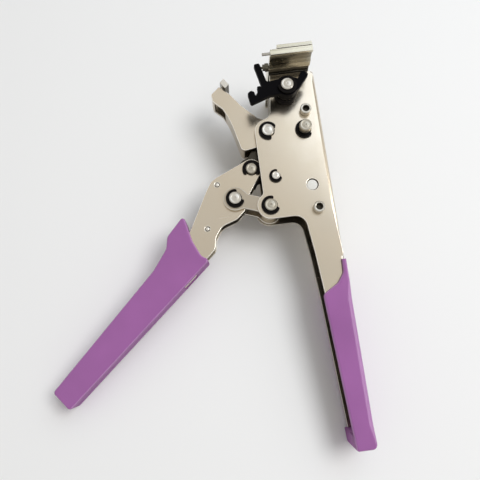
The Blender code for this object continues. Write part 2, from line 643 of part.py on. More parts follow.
def locators(table):
    """The plain pin and the stepped post on the table's left face."""
    face = TABLE_LEFT_X
    pin_at = (0.0, TABLE_LOW_Y + LOCATOR_UP, MID + TABLE_REACH - LOCATOR_INSET)
    pin = [(0, face + LOCATOR_IN), (LOCATOR_R, face + LOCATOR_IN), (LOCATOR_R, face - LOCATOR_OUT),
           (0, face - LOCATOR_OUT)]
    add("locating_pin", turned(pin, pin_at, "X", 12), STEEL)
    post_at = (0.0, TABLE_LOW_Y + LOCATOR_POST_UP, MID + TABLE_REACH - LOCATOR_POST_INSET)
    out = face - FIT
    step = out - POST_OUT + LOCATOR_STEP
    end = out - POST_OUT
    post = [(0, face + LOCATOR_IN), (LOCATOR_R, face + LOCATOR_IN), (LOCATOR_R, out), (LOCATOR_POST_R, out),
            (LOCATOR_POST_R, step), (LOCATOR_STEP_R, step), (LOCATOR_STEP_R, end), (LOCATOR_TIP_R, end),
            (LOCATOR_TIP_R, end - LOCATOR_TIP), (0, end - LOCATOR_TIP)]
    add("locating_post", turned(post, post_at, "X", 16), TOOL_STEEL)
    drill_end = face + LOCATOR_IN + FIT
    hole = [(0, drill_end), (LOCATOR_R + FIT, drill_end), (LOCATOR_R + FIT, face - SHEET), (0, face - SHEET)]
    for name, at in (("pin_hole", pin_at), ("post_hole", post_at)):
        shape(table, cutter(name, turned(hole, at, "X", 12), table))


def jaw(axle):
    """Two cheeks and the folded web between them, the tongue to the linkage, and the press nose."""
    r = JAW_BOSS_R
    left_side = [JAW_NOSE_END, *JAW_TIP, *JAW_NOTCH, *JAW_BACK]
    outline = rounded([*JAW_THROAT, *left_side, *arc(JAW_PIVOT, r, -115, 80)])
    jaw_body = add("jaw_channel", slab(outline, MID - JAW_OUT, MID + JAW_OUT), NICKEL, axle)
    soften(jaw_body, JAW_EDGE, 1)
    s = JAW_SHEET
    end_x, end_y = JAW_NOSE_END[:2]
    flank = ((end_x + JAW_TIP[0][0] - s) / 2, (end_y + JAW_TIP[0][1] + s) / 2)
    inside = [(2 * r, -2 * r), (2 * r, 4 * r), (end_x, end_y + s), flank]
    inside += [(p[0] + s, p[1]) for p in JAW_TIP] + [(p[0] - s, p[1]) for p in JAW_NOTCH]
    inside += [(p[0] + s, p[1]) for p in JAW_BACK] + [(JAW_BACK[-1][0] + 2 * s, -2 * r)]
    hollow = cutter("jaw_hollow", slab(inside, MID - JAW_IN, MID + JAW_IN), jaw_body)
    shape(jaw_body, hollow)
    bore = slab(circle(JAW_PIVOT, PIN_R + FIT), MID - BODY_IN, MID + BODY_IN)
    shape(jaw_body, cutter("jaw_bore", bore, jaw_body))

    eye_r = JAW_LINK_PIN_R + FIT + EYE_PLAY
    tongue = dogbone(JAW_PIVOT, r, JAW_LINK_PIVOT, eye_r + TONGUE_EYE_WALL, TONGUE_NECK, LINK_NECK_FILLET)
    holes = [circle(JAW_PIVOT, PIN_R + FIT), circle(JAW_LINK_PIVOT, eye_r)]
    add("jaw_tongue", slab(tongue, MID - CORE, MID + CORE, holes), STEEL, axle)
    for side, name in ((1, "front"), (-1, "back")):
        faces = sorted((MID + side * (CORE + FIT), MID + side * (JAW_IN - FIT)))
        add("jaw_bush_" + name, tube_ring(JAW_PIVOT, PIN_R + FIT, r - SHEET, *faces), STEEL, axle)
    press_nose(axle)


def press_nose(axle):
    """A bar across the jaw's tip, ground so that its end lies flat on the pad when the jaw is shut."""
    along = Vector((math.cos(math.radians(NOSE_LEAN)), math.sin(math.radians(NOSE_LEAN))))
    across = Vector((-math.sin(math.radians(CLOSE_ANGLE)), math.cos(math.radians(CLOSE_ANGLE))))
    face = Vector(NOSE_FACE_AT)
    base = face - along * NOSE_REACH
    half = across * (NOSE_WIDE / 2)
    head = [tuple(p) for p in (base - half, face - half, face + half, base + half)]
    wide = JAW_OUT + NOSE_OVERHANG
    nose = add("press_nose", slab(head, MID - wide, MID + wide), STEEL, axle, smooth=False)
    root = base - along * NOSE_SHANK
    slim = half * 0.8
    lap = along * (NOSE_REACH / 3)
    shank = [tuple(p) for p in (root - slim, base + lap - slim, base + lap + slim, root + slim)]
    slot = JAW_IN - FIT
    shape(nose, cutter("nose_shank", slab(shank, MID - slot, MID + slot), nose), "UNION")


def link(axle):
    outline = dogbone(LINK_PIVOT, LINK_BOSS_R, HANDLE_PIVOT, LINK_BOSS_R, LINK_NECK, LINK_NECK_FILLET)
    holes = [circle(LINK_PIVOT, PIN_R + FIT), circle(HANDLE_PIVOT, PIN_R + FIT)]
    for side, name in ((1, "front"), (-1, "back")):
        faces = sorted((MID + side * LINK_IN, MID + side * LINK_OUT))
        add("link_" + name, slab(outline, *faces, holes), NICKEL, axle)
    low = MID - LINK_OUT - FIT
    grooved_pin("handle_pivot", HANDLE_PIVOT, PIN_R, PIN_HEAD_R, low - INNER_HEAD, low, MID + LINK_OUT,
                PIN_END, axle)
    clip("handle_pivot_clip", HANDLE_PIVOT, PIN_R, CLIP_R, MID + LINK_OUT, 28, axle)


def handle(axle):
    boss = arc(JAW_LINK_PIVOT, HANDLE_BOSS_R, -55, 115)
    outline = rounded([*boss, *HANDLE_LEFT, *HANDLE_TANG, *HANDLE_NECK, *HANDLE_RIGHT])
    holes = [circle(JAW_LINK_PIVOT, JAW_LINK_PIN_R + FIT), circle(HANDLE_PIVOT, PIN_R + FIT)]
    holes += [circle(at, RIVET_R + FIT, 12) for at in (UPPER_RIVET_AT, LOWER_RIVET_AT)]
    for side, name in ((1, "front"), (-1, "back")):
        faces = sorted((MID + side * HANDLE_IN, MID + side * HANDLE_OUT))
        add("handle_plate_" + name, slab(outline, *faces, holes), NICKEL, axle)
    core = grown(rounded([*HANDLE_LEFT, *HANDLE_TANG, *HANDLE_NECK, *HANDLE_CORE]), -HANDLE_SPACER_INSET)
    add("handle_spacer", slab(core, MID - CORE, MID + CORE, holes[2:]), TOOL_STEEL, axle)
    for at, name in ((UPPER_RIVET_AT, "upper_rivet"), (LOWER_RIVET_AT, "lower_rivet")):
        dome = [(0, MID + HANDLE_OUT + FIT), (RIVET_R, MID + HANDLE_OUT), (RIVET_R, MID - HANDLE_OUT),
                (0, MID - HANDLE_OUT - FIT)]
        add(name, turned(dome, (*at, 0.0), sides=12), STEEL, axle)
    low = MID - HANDLE_OUT - FIT
    grooved_pin("jaw_link_pin", JAW_LINK_PIVOT, JAW_LINK_PIN_R, PIN_HEAD_R, low - INNER_HEAD, low,
                MID + HANDLE_OUT, PIN_END, axle)
    clip("jaw_link_clip", JAW_LINK_PIVOT, JAW_LINK_PIN_R, CLIP_R, MID + HANDLE_OUT, -98, axle)
    moving_grip(axle)


def moving_grip(axle):
    wide = HANDLE_OUT + FIT + MOVING_WALL
    outline = rounded(MOVING_GRIP)
    body = cushion(outline, MID - wide, MID + wide, [GRIP_EDGE] * len(outline))
    grip = add("moving_grip", body, PURPLE, axle)
    stock = rounded([*HANDLE_TANG, *HANDLE_NECK[:2], HANDLE_LEFT[-1]])
    pocket = slab(grown(stock, FIT), MID - HANDLE_OUT - FIT, MID + HANDLE_OUT + FIT)
    shape(grip, cutter("tang_pocket", pocket, grip))


def tape_lever(axle):
    """A hub with a clamping arm, a thumb arm with a hooked end, and a short tail."""
    top = arc(LEVER_PIVOT, LEVER_HUB_R, 60, 130)
    low = arc(LEVER_PIVOT, LEVER_HUB_R, 230, 300)
    outline = rounded([*top, *LEVER_UPPER, *LEVER_THUMB, *low, *LEVER_TAIL])
    bore = circle(LEVER_PIVOT, PIN_R + FIT)
    arms = add("tape_lever", slab(outline, LEVER_TOP - LEVER_ARM, LEVER_TOP, [bore]), BLACK_NYLON, axle)
    barrel = tube_ring(LEVER_PIVOT, PIN_R + FIT, LEVER_HUB_R, LEVER_LOW, LEVER_TOP - LEVER_ARM / 2)
    shape(arms, cutter("lever_barrel", barrel, arms), "UNION")


def wire(name, route, diameter):
    """A spring bent from one wire; prints the least gap between its turns."""
    curve = bpy.data.curves.new(name, "CURVE")
    curve.dimensions = "3D"
    curve.bevel_depth = diameter / 2
    curve.bevel_resolution = 1
    curve.use_fill_caps = True
    spline = curve.splines.new("POLY")
    spline.points.add(len(route) - 1)
    for point, place in zip(spline.points, route):
        point.co = (*place, 1.0)
    places = [Vector(p) for p in route]
    apart = CURL_POINTS // 2
    gap = min((a - b).length for i, a in enumerate(places) for b in places[i + apart:]) - diameter
    print(f"{name}: least gap between turns {gap * 1000:.2f} mm")
    add(name, welded(bpy.data.objects.new(name, curve)), BLACK_STEEL)


def coil(at, radius, turns, pitch, low, start):
    """Points up a coil round a Z axis, from a start angle in degrees."""
    count = round(turns * CURL_POINTS)
    points = []
    for i in range(count + 1):
        turn = i / CURL_POINTS
        angle = math.radians(start) + 2 * math.pi * turn
        x, y = radius * math.cos(angle), radius * math.sin(angle)
        points.append((at[0] + x, at[1] + y, low + pitch * turn))
    return points


def springs():
    low = FRONT + FIT + LEVER_WIRE / 2
    turns = coil(LEVER_PIVOT, LEVER_COIL_R, LEVER_TURNS, LEVER_PITCH, low, 200)
    top = low + LEVER_PITCH * LEVER_TURNS
    wire("lever_spring", [(*LEVER_SPRING_FOOT, low), *turns, (*LEVER_SPRING_TOP, top)], LEVER_WIRE)

    x, y = SPRING_POST_AT
    rise = OPEN_PITCH * OPEN_TURNS
    low = MID + HANDLE_OUT - OPEN_WIRE - rise
    turns = coil(SPRING_POST_AT, OPEN_COIL_R, OPEN_TURNS, OPEN_PITCH, low, 0)
    leg = [(*place, low + rise) for place in OPEN_LEG]
    wire("opening_spring", [(x + OPEN_COIL_R, y - OPEN_FOOT_DROP, low), *turns, *leg], OPEN_WIRE)


jaw_axle = pivot("jaw_axle", JAW_PIVOT)
link_axle = pivot("link_axle", LINK_PIVOT)
handle_axle = pivot("handle_axle", HANDLE_PIVOT, link_axle)
lever_axle = pivot("lever_axle", LEVER_PIVOT)
body_channel()
fixed_grip()
body_pins()
frame_screws()
tape_table()
jaw(jaw_axle)
link(link_axle)
handle(handle_axle)
tape_lever(lever_axle)
springs()
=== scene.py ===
"""Looks of a pair of compound-lever clip-setting pliers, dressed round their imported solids.

Frame: the solids' own, in metres. The jaw pivot is the Z axis, +Y runs along the spine to the head
and +Z points away from the back. A piece refines or stands for the solid that it names.
"""
import json
import math

import bmesh
import bpy
from bpy.props import FloatProperty, FloatVectorProperty, IntProperty, PointerProperty
from mathutils import Matrix, Vector
from mathutils.bvhtree import BVHTree


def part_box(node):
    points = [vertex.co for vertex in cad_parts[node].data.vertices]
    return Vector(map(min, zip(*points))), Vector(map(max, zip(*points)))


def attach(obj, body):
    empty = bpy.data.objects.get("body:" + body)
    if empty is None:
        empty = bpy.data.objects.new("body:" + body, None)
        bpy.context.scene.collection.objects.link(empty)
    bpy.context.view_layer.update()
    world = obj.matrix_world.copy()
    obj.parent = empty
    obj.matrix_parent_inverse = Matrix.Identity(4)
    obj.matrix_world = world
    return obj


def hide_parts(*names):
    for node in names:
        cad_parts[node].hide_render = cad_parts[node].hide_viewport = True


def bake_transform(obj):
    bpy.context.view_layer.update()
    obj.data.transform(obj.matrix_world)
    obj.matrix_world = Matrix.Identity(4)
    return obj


bl_info = {
    "name": "Clip-setting pliers",
    "version": (1, 0, 0),
    "blender": (4, 5, 0),
    "location": "View3D > Sidebar > Pliers",
    "description": "Dresses the packed solids of a pair of clip-setting pliers",
    "category": "Object",
}

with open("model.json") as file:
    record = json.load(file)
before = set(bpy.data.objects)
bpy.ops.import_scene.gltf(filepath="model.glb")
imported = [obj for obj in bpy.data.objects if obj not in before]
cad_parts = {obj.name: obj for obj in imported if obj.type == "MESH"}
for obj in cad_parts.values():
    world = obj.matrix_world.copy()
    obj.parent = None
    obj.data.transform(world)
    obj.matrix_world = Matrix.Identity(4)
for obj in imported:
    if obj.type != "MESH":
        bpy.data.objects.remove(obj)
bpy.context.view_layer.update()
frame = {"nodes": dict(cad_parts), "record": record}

MM = 0.001
BODIES = frame["record"]["behaviour"]["bodies"]
NODE_BODY = {node: body for body, nodes in BODIES.items() for node in nodes}
NODE_SLOT = {part["node"]: part["material_slot"] for part in frame["record"]["subparts"]}
MID = sum(corner.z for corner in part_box("body_channel")) / 2     # mid plane of the tool

# Edges and faces
WELD, TOUCH = 2e-6, 1e-6              # metres: points of a solid, or of a new shape, that are one
FLAT = math.radians(0.5)              # faces that meet at less are one
SLIVER = 0.08 * MM                    # shorter edges of a solid are closed up
SHARP = math.radians(40)              # edges that turn more than this are broken
NEAR = 0.1 * MM                       # what is closer than this to a plane lies on it
SIDEWAYS, SAME_WAY = 0.9, 0.99        # share of a normal along the way that a face looks

# Painted shade, as the share of the surface's colour that it hides
INSIDE_SHADE, LINK_SHADE = 0.50, 0.24   # inside the folded sheet, and all over the links
WEB_HALF, WEB_X = 6 * MM, 15 * MM     # the spine's inner side: half its height, and where it starts
LINE_SHADE, SOCKET_SHADE = 0.55, 0.95   # in the grips' parting line, and in the screws' sockets
# Painted shade on each machined piece
MACHINED_SHADE = {
    "table_guide": 0.15, "press_pad": 0.0, "press_nose": 0.6, "upper_nut": 0.0, "lower_nut": 0.0,
    "stop_pin": 0.0, "handle_spacer": 0.3, "table_stem": 0.5, "jaw_tongue": 0.95,
    "locating_pin": 0.35, "locating_post": 0.85,
}
NOSE_END = 0.5                        # faces of the press bar that look more along Z are its ends
# Painted shade under the table, by distance from its end: groove, its slope, ridge and relief next
# to the body
UNDER_TABLE = ((7.6 * MM, 0.66), (9.6 * MM, 0.46), (13.4 * MM, 0.16), (1.0, 0.90))
OPEN_END, OPEN_SHADE = 1.6 * MM, 0.10    # strip at the table's end that gets as little painted shade as its top
TABLE_TOP = 0.3                       # faces of the table that look more along Y are its top
LOCATOR_EDGE = 0.6 * MM               # shorter edges of the table are its locator's hole

# Pins and their clips: outside radius of the clip in mm, where it opens in degrees, and how far the
# pin has dulled
CLIPPED_PINS = (
    ("jaw_pivot", "jaw_pivot_clip", 4.65, -25, 0.1),
    ("bracket_pin", "bracket_pin_clip", 4.65, 3, 0.9),
    ("spring_post", "spring_post_clip", 3.30, 24, 0.0),
    ("link_pivot", "link_pivot_clip", 4.65, 20, 0.7),
    ("handle_pivot", "handle_pivot_clip", 4.65, 28, 0.2),
    ("jaw_link_pin", "jaw_link_clip", 4.65, -98, 0.8),
    ("lever_stud", "lever_clip", 4.65, 130, 0.4),
)
GROOVE_DEPTH = 0.8 * MM
CENTRE_R, CENTRE_DEEP = 0.42 * MM, 0.30 * MM    # centre mark of a turned pin
CENTRE_FLAT = 0.4                     # its flat bottom, as a share of its radius
RING_AT, RING_WIDE = 0.55, 0.15       # tool mark round it, as shares of the pin's radius
RING_DEEP = 0.10 * MM
CLIP_OPENING = 88                     # degrees
CLIP_CORNER = 0.84                    # rounding of a clip's ends, as a share of half its width
CLIP_STEPS = 40
QUARTER = [math.radians(angle) for angle in range(0, 91, 15)]    # angles round a corner or a dome
RIVET_RISE = 0.55 * MM                # height of a rivet's dome

# Socket screws: the way that each one's head faces
SCREWS = {"upper_screw": "Z", "lower_screw": "Z", "table_screw_1": "Y", "table_screw_2": "Y"}
TURNS = {"Z": Matrix.Identity(4), "Y": Matrix.Rotation(math.radians(-90), 4, "X")}
SCREW_HEAD = 3.0 * MM
SCREW_SHANK_R = 1.5 * MM
SCREW_TARNISH = 0.45
SOCKET_FLAT = 1.35 * MM               # half the width across the hexagon's flats
SOCKET_RIM, SOCKET_SINK = 0.40 * MM, 0.25 * MM    # slope round the hexagon: how wide and how deep
SOCKET_DEEP = 1.6 * MM
SOCKET_REACH = 1.25 * SOCKET_FLAT     # how far from the axis the painted shade goes

# Grips: faces that look less along Z are walls, those that look more are flat, and the rest are
# rubbed edges, painted paler for wear and a painted highlight
WALL_LEAN, FLAT_LEAN = 0.1, 0.95
SPINE_LEAN = 0.2                      # the fixed grip has the line where it looks more to X or -Y
LINE_REACH = 25 * MM                  # a wall with nothing so close in front of it is outside
RAY_START = 1e-5                      # metres off the wall

# Window in the moving grip's inner wall: from the wall's upper corner, along it and up
WINDOW_CORNER = Vector((-36.4 * MM, -60.9 * MM, 0))
WINDOW_RUN = Vector((-0.7561, -0.6545, 0))
WINDOW_OUT = Vector((-WINDOW_RUN.y, WINDOW_RUN.x, 0))
WINDOW_SPAN, WINDOW_RISE = (9.0 * MM, 18.0 * MM), (7.0 * MM, 14.5 * MM)
WINDOW_SLOPE, WINDOW_DEEP = 0.30 * MM, 0.70 * MM
PLATE_THICK, PLATE_GAP = 0.30 * MM, 2.5 * WINDOW_SLOPE    # plate in it, and how much smaller it is

# Lever: seams of its solid that are longer and flatter than this are taken out
SEAM_LONG, SEAM_FLAT = 5 * MM, math.radians(1)

# Springs, with the solids' own wires
LEVER_PIVOT = (11.2 * MM, 17.6 * MM)
SPRING_POST = (0.7 * MM, -24.0 * MM)
WIRE = 1.0 * MM
WIRE_PITCH = 1.55 * MM
COIL_STEPS = 12                       # points to a turn
LEVER_COIL = {"radius": 5.0 * MM, "turns": 2.5, "start": 200, "low": 20.3 * MM}
LEVER_FOOT, LEVER_TOP = (5.9 * MM, 17.6 * MM), (14.7 * MM, 23.3 * MM)
OPENING_COIL = {"radius": 3.1 * MM, "turns": 4.25, "start": 0, "low": 14.6 * MM - 4.25 * WIRE_PITCH}
OPENING_FOOT = (3.8 * MM, -34.0 * MM)
OPENING_LEG = ((-3.3, -20.4), (-5.2, -21.3), (-7.0, -23.1), (-10.4, -28.0))    # mm

# Camera, in metres
CAMERA_AT = (-0.02476, -0.09807, 0.24488)
CAMERA_AIM = (-0.02036, -0.04978, 0.0)
CAMERA_ROLL = 7.046                   # degrees
CAMERA_NEAR = 0.005
LENS = 36.0                           # mm, on a sensor as wide

# What the tool rests on: the table's back edge and the ends of the two grips
FEET = ((0.0044, 0.0300, -0.0165), (0.0230, -0.1535, 0.0), (-0.1100, -0.1180, 0.0043))
FLOOR_HALF = 1.5

# Lamps: the way to each one from where they aim, how far it hangs and how wide it is
LAMP_AIM = (-0.02, -0.06, 0.0)
KEY_LAMP = ((0.55, 0.12, 0.95), 1.0, 0.50)
EDGE_LAMP = ((0.79, -0.10, 0.60), 0.8, 0.60)
WINDOW_LAMP = ((0.43, 0.48, 0.765), 0.8, 0.46)
WINDOW_TINT = (0.70, 0.82, 1.0)

# Room: its bright side, and where each light fades, by how far a ray points to that side or up
WINDOW_SIDE = (0.45, 0.55, 0.70)
ROOM_TINT = (1.0, 0.99, 0.975)
GLOW_FADE, LOW_FADE = (0.62, 0.97), (0.05, 0.45)
SWEEP_FADE, CEILING_FADE = (-0.02, 0.5), (0.93, 0.99)


def linear(code):
    """An sRGB hex colour as linear red, green and blue."""
    shares = [int(code[i:i + 2], 16) / 255 for i in (0, 2, 4)]
    return tuple(s / 12.92 if s <= 0.04045 else ((s + 0.055) / 1.055) ** 2.4 for s in shares)


def colour_setting(name, code, description):
    """A colour in the settings, from its sRGB hex value."""
    return FloatVectorProperty(name=name, description=description, default=linear(code), size=3,
                               min=0.0, max=1.0, subtype="COLOR")


def length_setting(name, millimetres, description):
    """A length in the settings."""
    return FloatProperty(name=name, description=description, default=millimetres * MM, min=0.0,
                         precision=5, subtype="DISTANCE", unit="LENGTH")


def power_setting(name, watts, description):
    """A lamp's power in the settings."""
    return FloatProperty(name=name, description=description, default=watts, min=0.0,
                         subtype="POWER", unit="POWER")


def share_setting(name, share, description):
    """A share of a light in the settings."""
    return FloatProperty(name=name, description=description, default=share, min=0.0, max=1.0,
                         subtype="FACTOR")


class PliersSizes(bpy.types.PropertyGroup):
    """Roundings and small forms that the solids leave out."""

    sheet_edge: length_setting("Sheet edge", 0.28,
                               "Rounding left by punching and tumbling the sheet")
    machined_edge: length_setting("Machined edge", 0.15, "Broken edge of milled and ground pieces")
    moulded_edge: length_setting("Moulded edge", 0.25, "Rounding of the moulded lever")
    pin_edge: length_setting("Pin edge", 0.40, "Chamfer of a pin's end")
    screw_edge: length_setting("Screw edge", 0.35, "Chamfer of a screw's head")
    clip_edge: length_setting("Clip edge", 0.16, "Rounding of a stamped clip")
    parting_line: length_setting("Parting line", 0.40,
                                 "Width of the groove where the mould halves met")
    round_steps: IntProperty(name="Steps round", description="Facets of a turned piece", default=48,
                             min=12)


class PliersFinish(bpy.types.PropertyGroup):
    """Colours of the surfaces."""

    nickel: colour_setting("Nickel", "D9CEBC", "Satin nickel plate")
    nickel_stain: colour_setting("Nickel stain", "D0C2AB", "Warmer patches of the plate")
    # Paler edges of plate and milled steel: wear and a painted highlight
    rubbed_and_highlit: colour_setting("Rubbed metal", "F6F0E4",
                           "Edges of plate and milled steel that use has rubbed bright")
    steel: colour_setting("Steel", "DDD8CE", "Turned and ground steel")
    steel_dull: colour_setting("Dull steel", "B5AE9F", "Turned steel that has dulled")
    milled: colour_setting("Milled steel", "DDD6C0", "Milled tool steel of the table")
    # Painted shade: the dark brown that shaded faces are mixed towards
    painted_shade: colour_setting("Grime", "2B251A", "Old oil and dirt inside the tool")
    black_oxide: colour_setting("Black oxide", "1A1817", "Blackened spring steel")
    nylon: colour_setting("Nylon", "070608", "Black moulded nylon")
    purple: colour_setting("Purple", "985D99", "Purple moulded grip")
    # Paler edges of the grip: wear and a painted highlight
    purple_wear_and_highlight: colour_setting("Purple, worn", "B787B9", "Rubbed edges of the grip")
    floor: colour_setting("Floor", "EBEBEA", "Pale floor")


class PliersStage(bpy.types.PropertyGroup):
    """Light on the stage."""

    key_power: power_setting("Key light", 4.3, "Power of the key light")
    edge_power: power_setting("Edge light", 3.6, "Power of the light that edges gleam in")
    window_power: power_setting("Window light", 0.69, "Power of the soft window light")
    room: FloatProperty(name="Room", description="Brightness of the room", default=0.48, min=0.0)
    room_window: FloatProperty(name="Window side", default=1.10, min=0.0,
                               description="Brightness of the room towards the window")
    horizon: share_setting("Horizon", 0.15, "Share of the room's light left at floor level")
    backdrop: share_setting("Backdrop", 0.55, "Share of the backdrop's light left at floor level")
    ceiling: share_setting("Ceiling", 0.85, "Share of the backdrop's light left overhead")


def connect(tree, node, values):
    """Fill a node's inputs: a value that is a socket is linked, and any other is set."""
    for socket, value in values.items():
        if isinstance(value, bpy.types.NodeSocket):
            tree.links.new(value, node.inputs[socket])
        else:
            node.inputs[socket].default_value = value


def add_node(tree, kind, values=None, **fields):
    """Add a node with its fields and inputs."""
    node = tree.nodes.new("ShaderNode" + kind)
    for field, value in fields.items():
        setattr(node, field, value)
    connect(tree, node, values or {})
    return node


def per_metre(millimetres):
    """Texture scale that gives features of a size in millimetres."""
    return 1.0 / (millimetres * MM)


def marked(tree, tint, mark, other):
    """A colour that turns into another where the faces of a piece carry a mark."""
    share = add_node(tree, "Attribute", attribute_name=mark).outputs["Fac"]
    return add_node(tree, "Mix", {0: share, 6: tint, 7: (*other, 1)}, data_type="RGBA").outputs[2]


def satin_nickel(tree, shader, colours):
    """Nickel plate on tumbled sheet: a soft warm sheen with cloudy patches, fine grain, a few
    scratches, edges painted bright for wear and a painted highlight, and painted shade where
    marked."""
    place = add_node(tree, "TexCoord").outputs["Object"]
    cloud = add_node(tree, "TexNoise", {"Vector": place, "Scale": per_metre(16),
                                        "Detail": 3.0}).outputs["Fac"]
    patch = add_node(tree, "Mix", {0: cloud, 6: (*colours.nickel, 1),
                                   7: (*colours.nickel_stain, 1)}, data_type="RGBA").outputs[2]
    # Scratches from handling, about 0.5 mm wide and 8 mm long, lying at a slant
    slant = add_node(tree, "Mapping", {"Vector": place, "Rotation": (0, 0, 0.9),
                                       "Scale": (0.06, 1, 0.3)}).outputs["Vector"]
    lines = add_node(tree, "TexNoise", {"Vector": slant, "Scale": per_metre(0.9),
                                        "Detail": 1.0}).outputs["Fac"]
    scratch = add_node(tree, "MapRange", {"Value": lines, "From Min": 0.76, "From Max": 0.84,
                                          "To Min": 0.0, "To Max": 1.0}).outputs["Result"]
    gloss = add_node(tree, "MapRange", {"Value": cloud, "From Min": 0.3, "From Max": 0.7,
                                        "To Min": 0.21, "To Max": 0.27}).outputs["Result"]
    rough = add_node(tree, "Math", {0: scratch, 1: 0.10, 2: gloss},
                     operation="MULTIPLY_ADD").outputs[0]
    # Tumbling marks are about 0.1 mm; 0.6 mm is the finest that shows
    grain = add_node(tree, "TexNoise", {"Vector": place, "Scale": per_metre(0.6),
                                        "Detail": 2.0}).outputs["Fac"]
    depth = add_node(tree, "Math", {0: scratch, 1: -0.6, 2: grain},
                     operation="MULTIPLY_ADD").outputs[0]
    relief = add_node(tree, "Bump", {"Height": depth, "Strength": 0.06,
                                     "Distance": 0.03 * MM}).outputs["Normal"]
    # Edges painted paler, for wear and a painted highlight
    worn_and_highlit = marked(tree, patch, "edge", colours.rubbed_and_highlit)
    # Painted shade where the faces are marked for it
    connect(tree, shader, {"Base Color": marked(tree, worn_and_highlit, "painted_shade", colours.painted_shade),
                           "Roughness": rough, "Normal": relief, "Metallic": 1.0})


def turned_steel(tree, shader, colours):
    """Steel cut on a lathe: bright, with rings round the axis that catch the light; some ends have
    dulled, and painted shade darkens the faces that are marked for it."""
    radius = add_node(tree, "Attribute", attribute_name="turning").outputs["Fac"]
    tarnish = add_node(tree, "Attribute", attribute_name="tarnish").outputs["Fac"]
    place = add_node(tree, "TexCoord").outputs["Object"]
    smear = add_node(tree, "TexNoise", {"Vector": place, "Scale": per_metre(1.6),
                                        "Detail": 2.0}).outputs["Fac"]
    dull = add_node(tree, "Math", {0: tarnish, 1: smear, 2: tarnish}, operation="MULTIPLY_ADD",
                    use_clamp=True).outputs[0]
    tint = add_node(tree, "Mix", {0: dull, 6: (*colours.steel, 1), 7: (*colours.steel_dull, 1)},
                    data_type="RGBA").outputs[2]
    # Feed marks are about 0.1 mm apart; 0.6 mm is the finest that shows
    rings = add_node(tree, "Math", {0: radius, 1: 2 * math.pi / (0.6 * MM)},
                     operation="MULTIPLY").outputs[0]
    wave = add_node(tree, "Math", {0: rings}, operation="SINE").outputs[0]
    gloss = add_node(tree, "MapRange", {"Value": wave, "From Min": -1.0, "From Max": 1.0,
                                        "To Min": 0.20, "To Max": 0.32}).outputs["Result"]
    rough = add_node(tree, "Math", {0: dull, 1: 0.12, 2: gloss},
                     operation="MULTIPLY_ADD").outputs[0]
    relief = add_node(tree, "Bump", {"Height": wave, "Strength": 0.25,
                                     "Distance": 0.03 * MM}).outputs["Normal"]
    # Painted shade where the faces are marked for it
    connect(tree, shader, {"Base Color": marked(tree, tint, "painted_shade", colours.painted_shade),
                           "Roughness": rough, "Normal": relief, "Metallic": 1.0})


def milled_tool_steel(tree, shader, colours):
    """Tool steel cut with an end mill along X: straight streaks, a little darker than the plate,
    edges painted bright for wear and a painted highlight, and painted shade where marked."""
    place = add_node(tree, "TexCoord").outputs["Object"]
    along = add_node(tree, "Mapping", {"Vector": place,
                                       "Scale": (0.04, 1.0, 1.0)}).outputs["Vector"]
    # Cutter marks are 0.2 mm apart; 0.7 mm is the finest that shows
    streaks = add_node(tree, "TexNoise", {"Vector": along, "Scale": per_metre(0.7),
                                          "Detail": 2.0}).outputs["Fac"]
    shade = add_node(tree, "MapRange", {"Value": streaks, "From Min": 0.3, "From Max": 0.7,
                                        "To Min": 0.74, "To Max": 1.06}).outputs["Result"]
    cut = add_node(tree, "Mix", {0: 1.0, 6: (*colours.milled, 1), 7: shade},
                   data_type="RGBA", blend_type="MULTIPLY").outputs[2]
    # Edges painted paler, for wear and a painted highlight
    worn_and_highlit = marked(tree, cut, "edge", colours.rubbed_and_highlit)
    gloss = add_node(tree, "MapRange", {"Value": streaks, "To Min": 0.18,
                                        "To Max": 0.34}).outputs["Result"]
    relief = add_node(tree, "Bump", {"Height": streaks, "Strength": 0.25,
                                     "Distance": 0.06 * MM}).outputs["Normal"]
    # Painted shade where the faces are marked for it
    connect(tree, shader, {"Base Color": marked(tree, worn_and_highlit, "painted_shade", colours.painted_shade),
                           "Roughness": gloss, "Normal": relief, "Metallic": 1.0})


def black_oxide(tree, shader, colours):
    """Blackened spring steel: near black, with an oily satin sheen that breaks up a little."""
    place = add_node(tree, "TexCoord").outputs["Object"]
    film = add_node(tree, "TexNoise", {"Vector": place, "Scale": per_metre(1.5),
                                       "Detail": 2.0}).outputs["Fac"]
    gloss = add_node(tree, "MapRange", {"Value": film, "To Min": 0.34,
                                        "To Max": 0.52}).outputs["Result"]
    relief = add_node(tree, "Bump", {"Height": film, "Strength": 0.08,
                                     "Distance": 0.03 * MM}).outputs["Normal"]
    connect(tree, shader, {"Base Color": (*colours.black_oxide, 1), "Roughness": gloss,
                           "Normal": relief, "Metallic": 1.0})


def moulded_nylon(tree, shader, colours):
    """Moulded nylon: satin black with a fine spark-eroded grain."""
    place = add_node(tree, "TexCoord").outputs["Object"]
    # The mould's grain is about 0.1 mm; 0.5 mm is the finest that shows
    grain = add_node(tree, "TexNoise", {"Vector": place, "Scale": per_metre(0.5),
                                        "Detail": 1.0}).outputs["Fac"]
    gloss = add_node(tree, "MapRange", {"Value": grain, "To Min": 0.40,
                                        "To Max": 0.56}).outputs["Result"]
    relief = add_node(tree, "Bump", {"Height": grain, "Strength": 0.12,
                                     "Distance": 0.04 * MM}).outputs["Normal"]
    connect(tree, shader, {"Base Color": (*colours.nylon, 1), "Roughness": gloss, "Normal": relief,
                           "IOR": 1.53, "Specular IOR Level": 0.04})


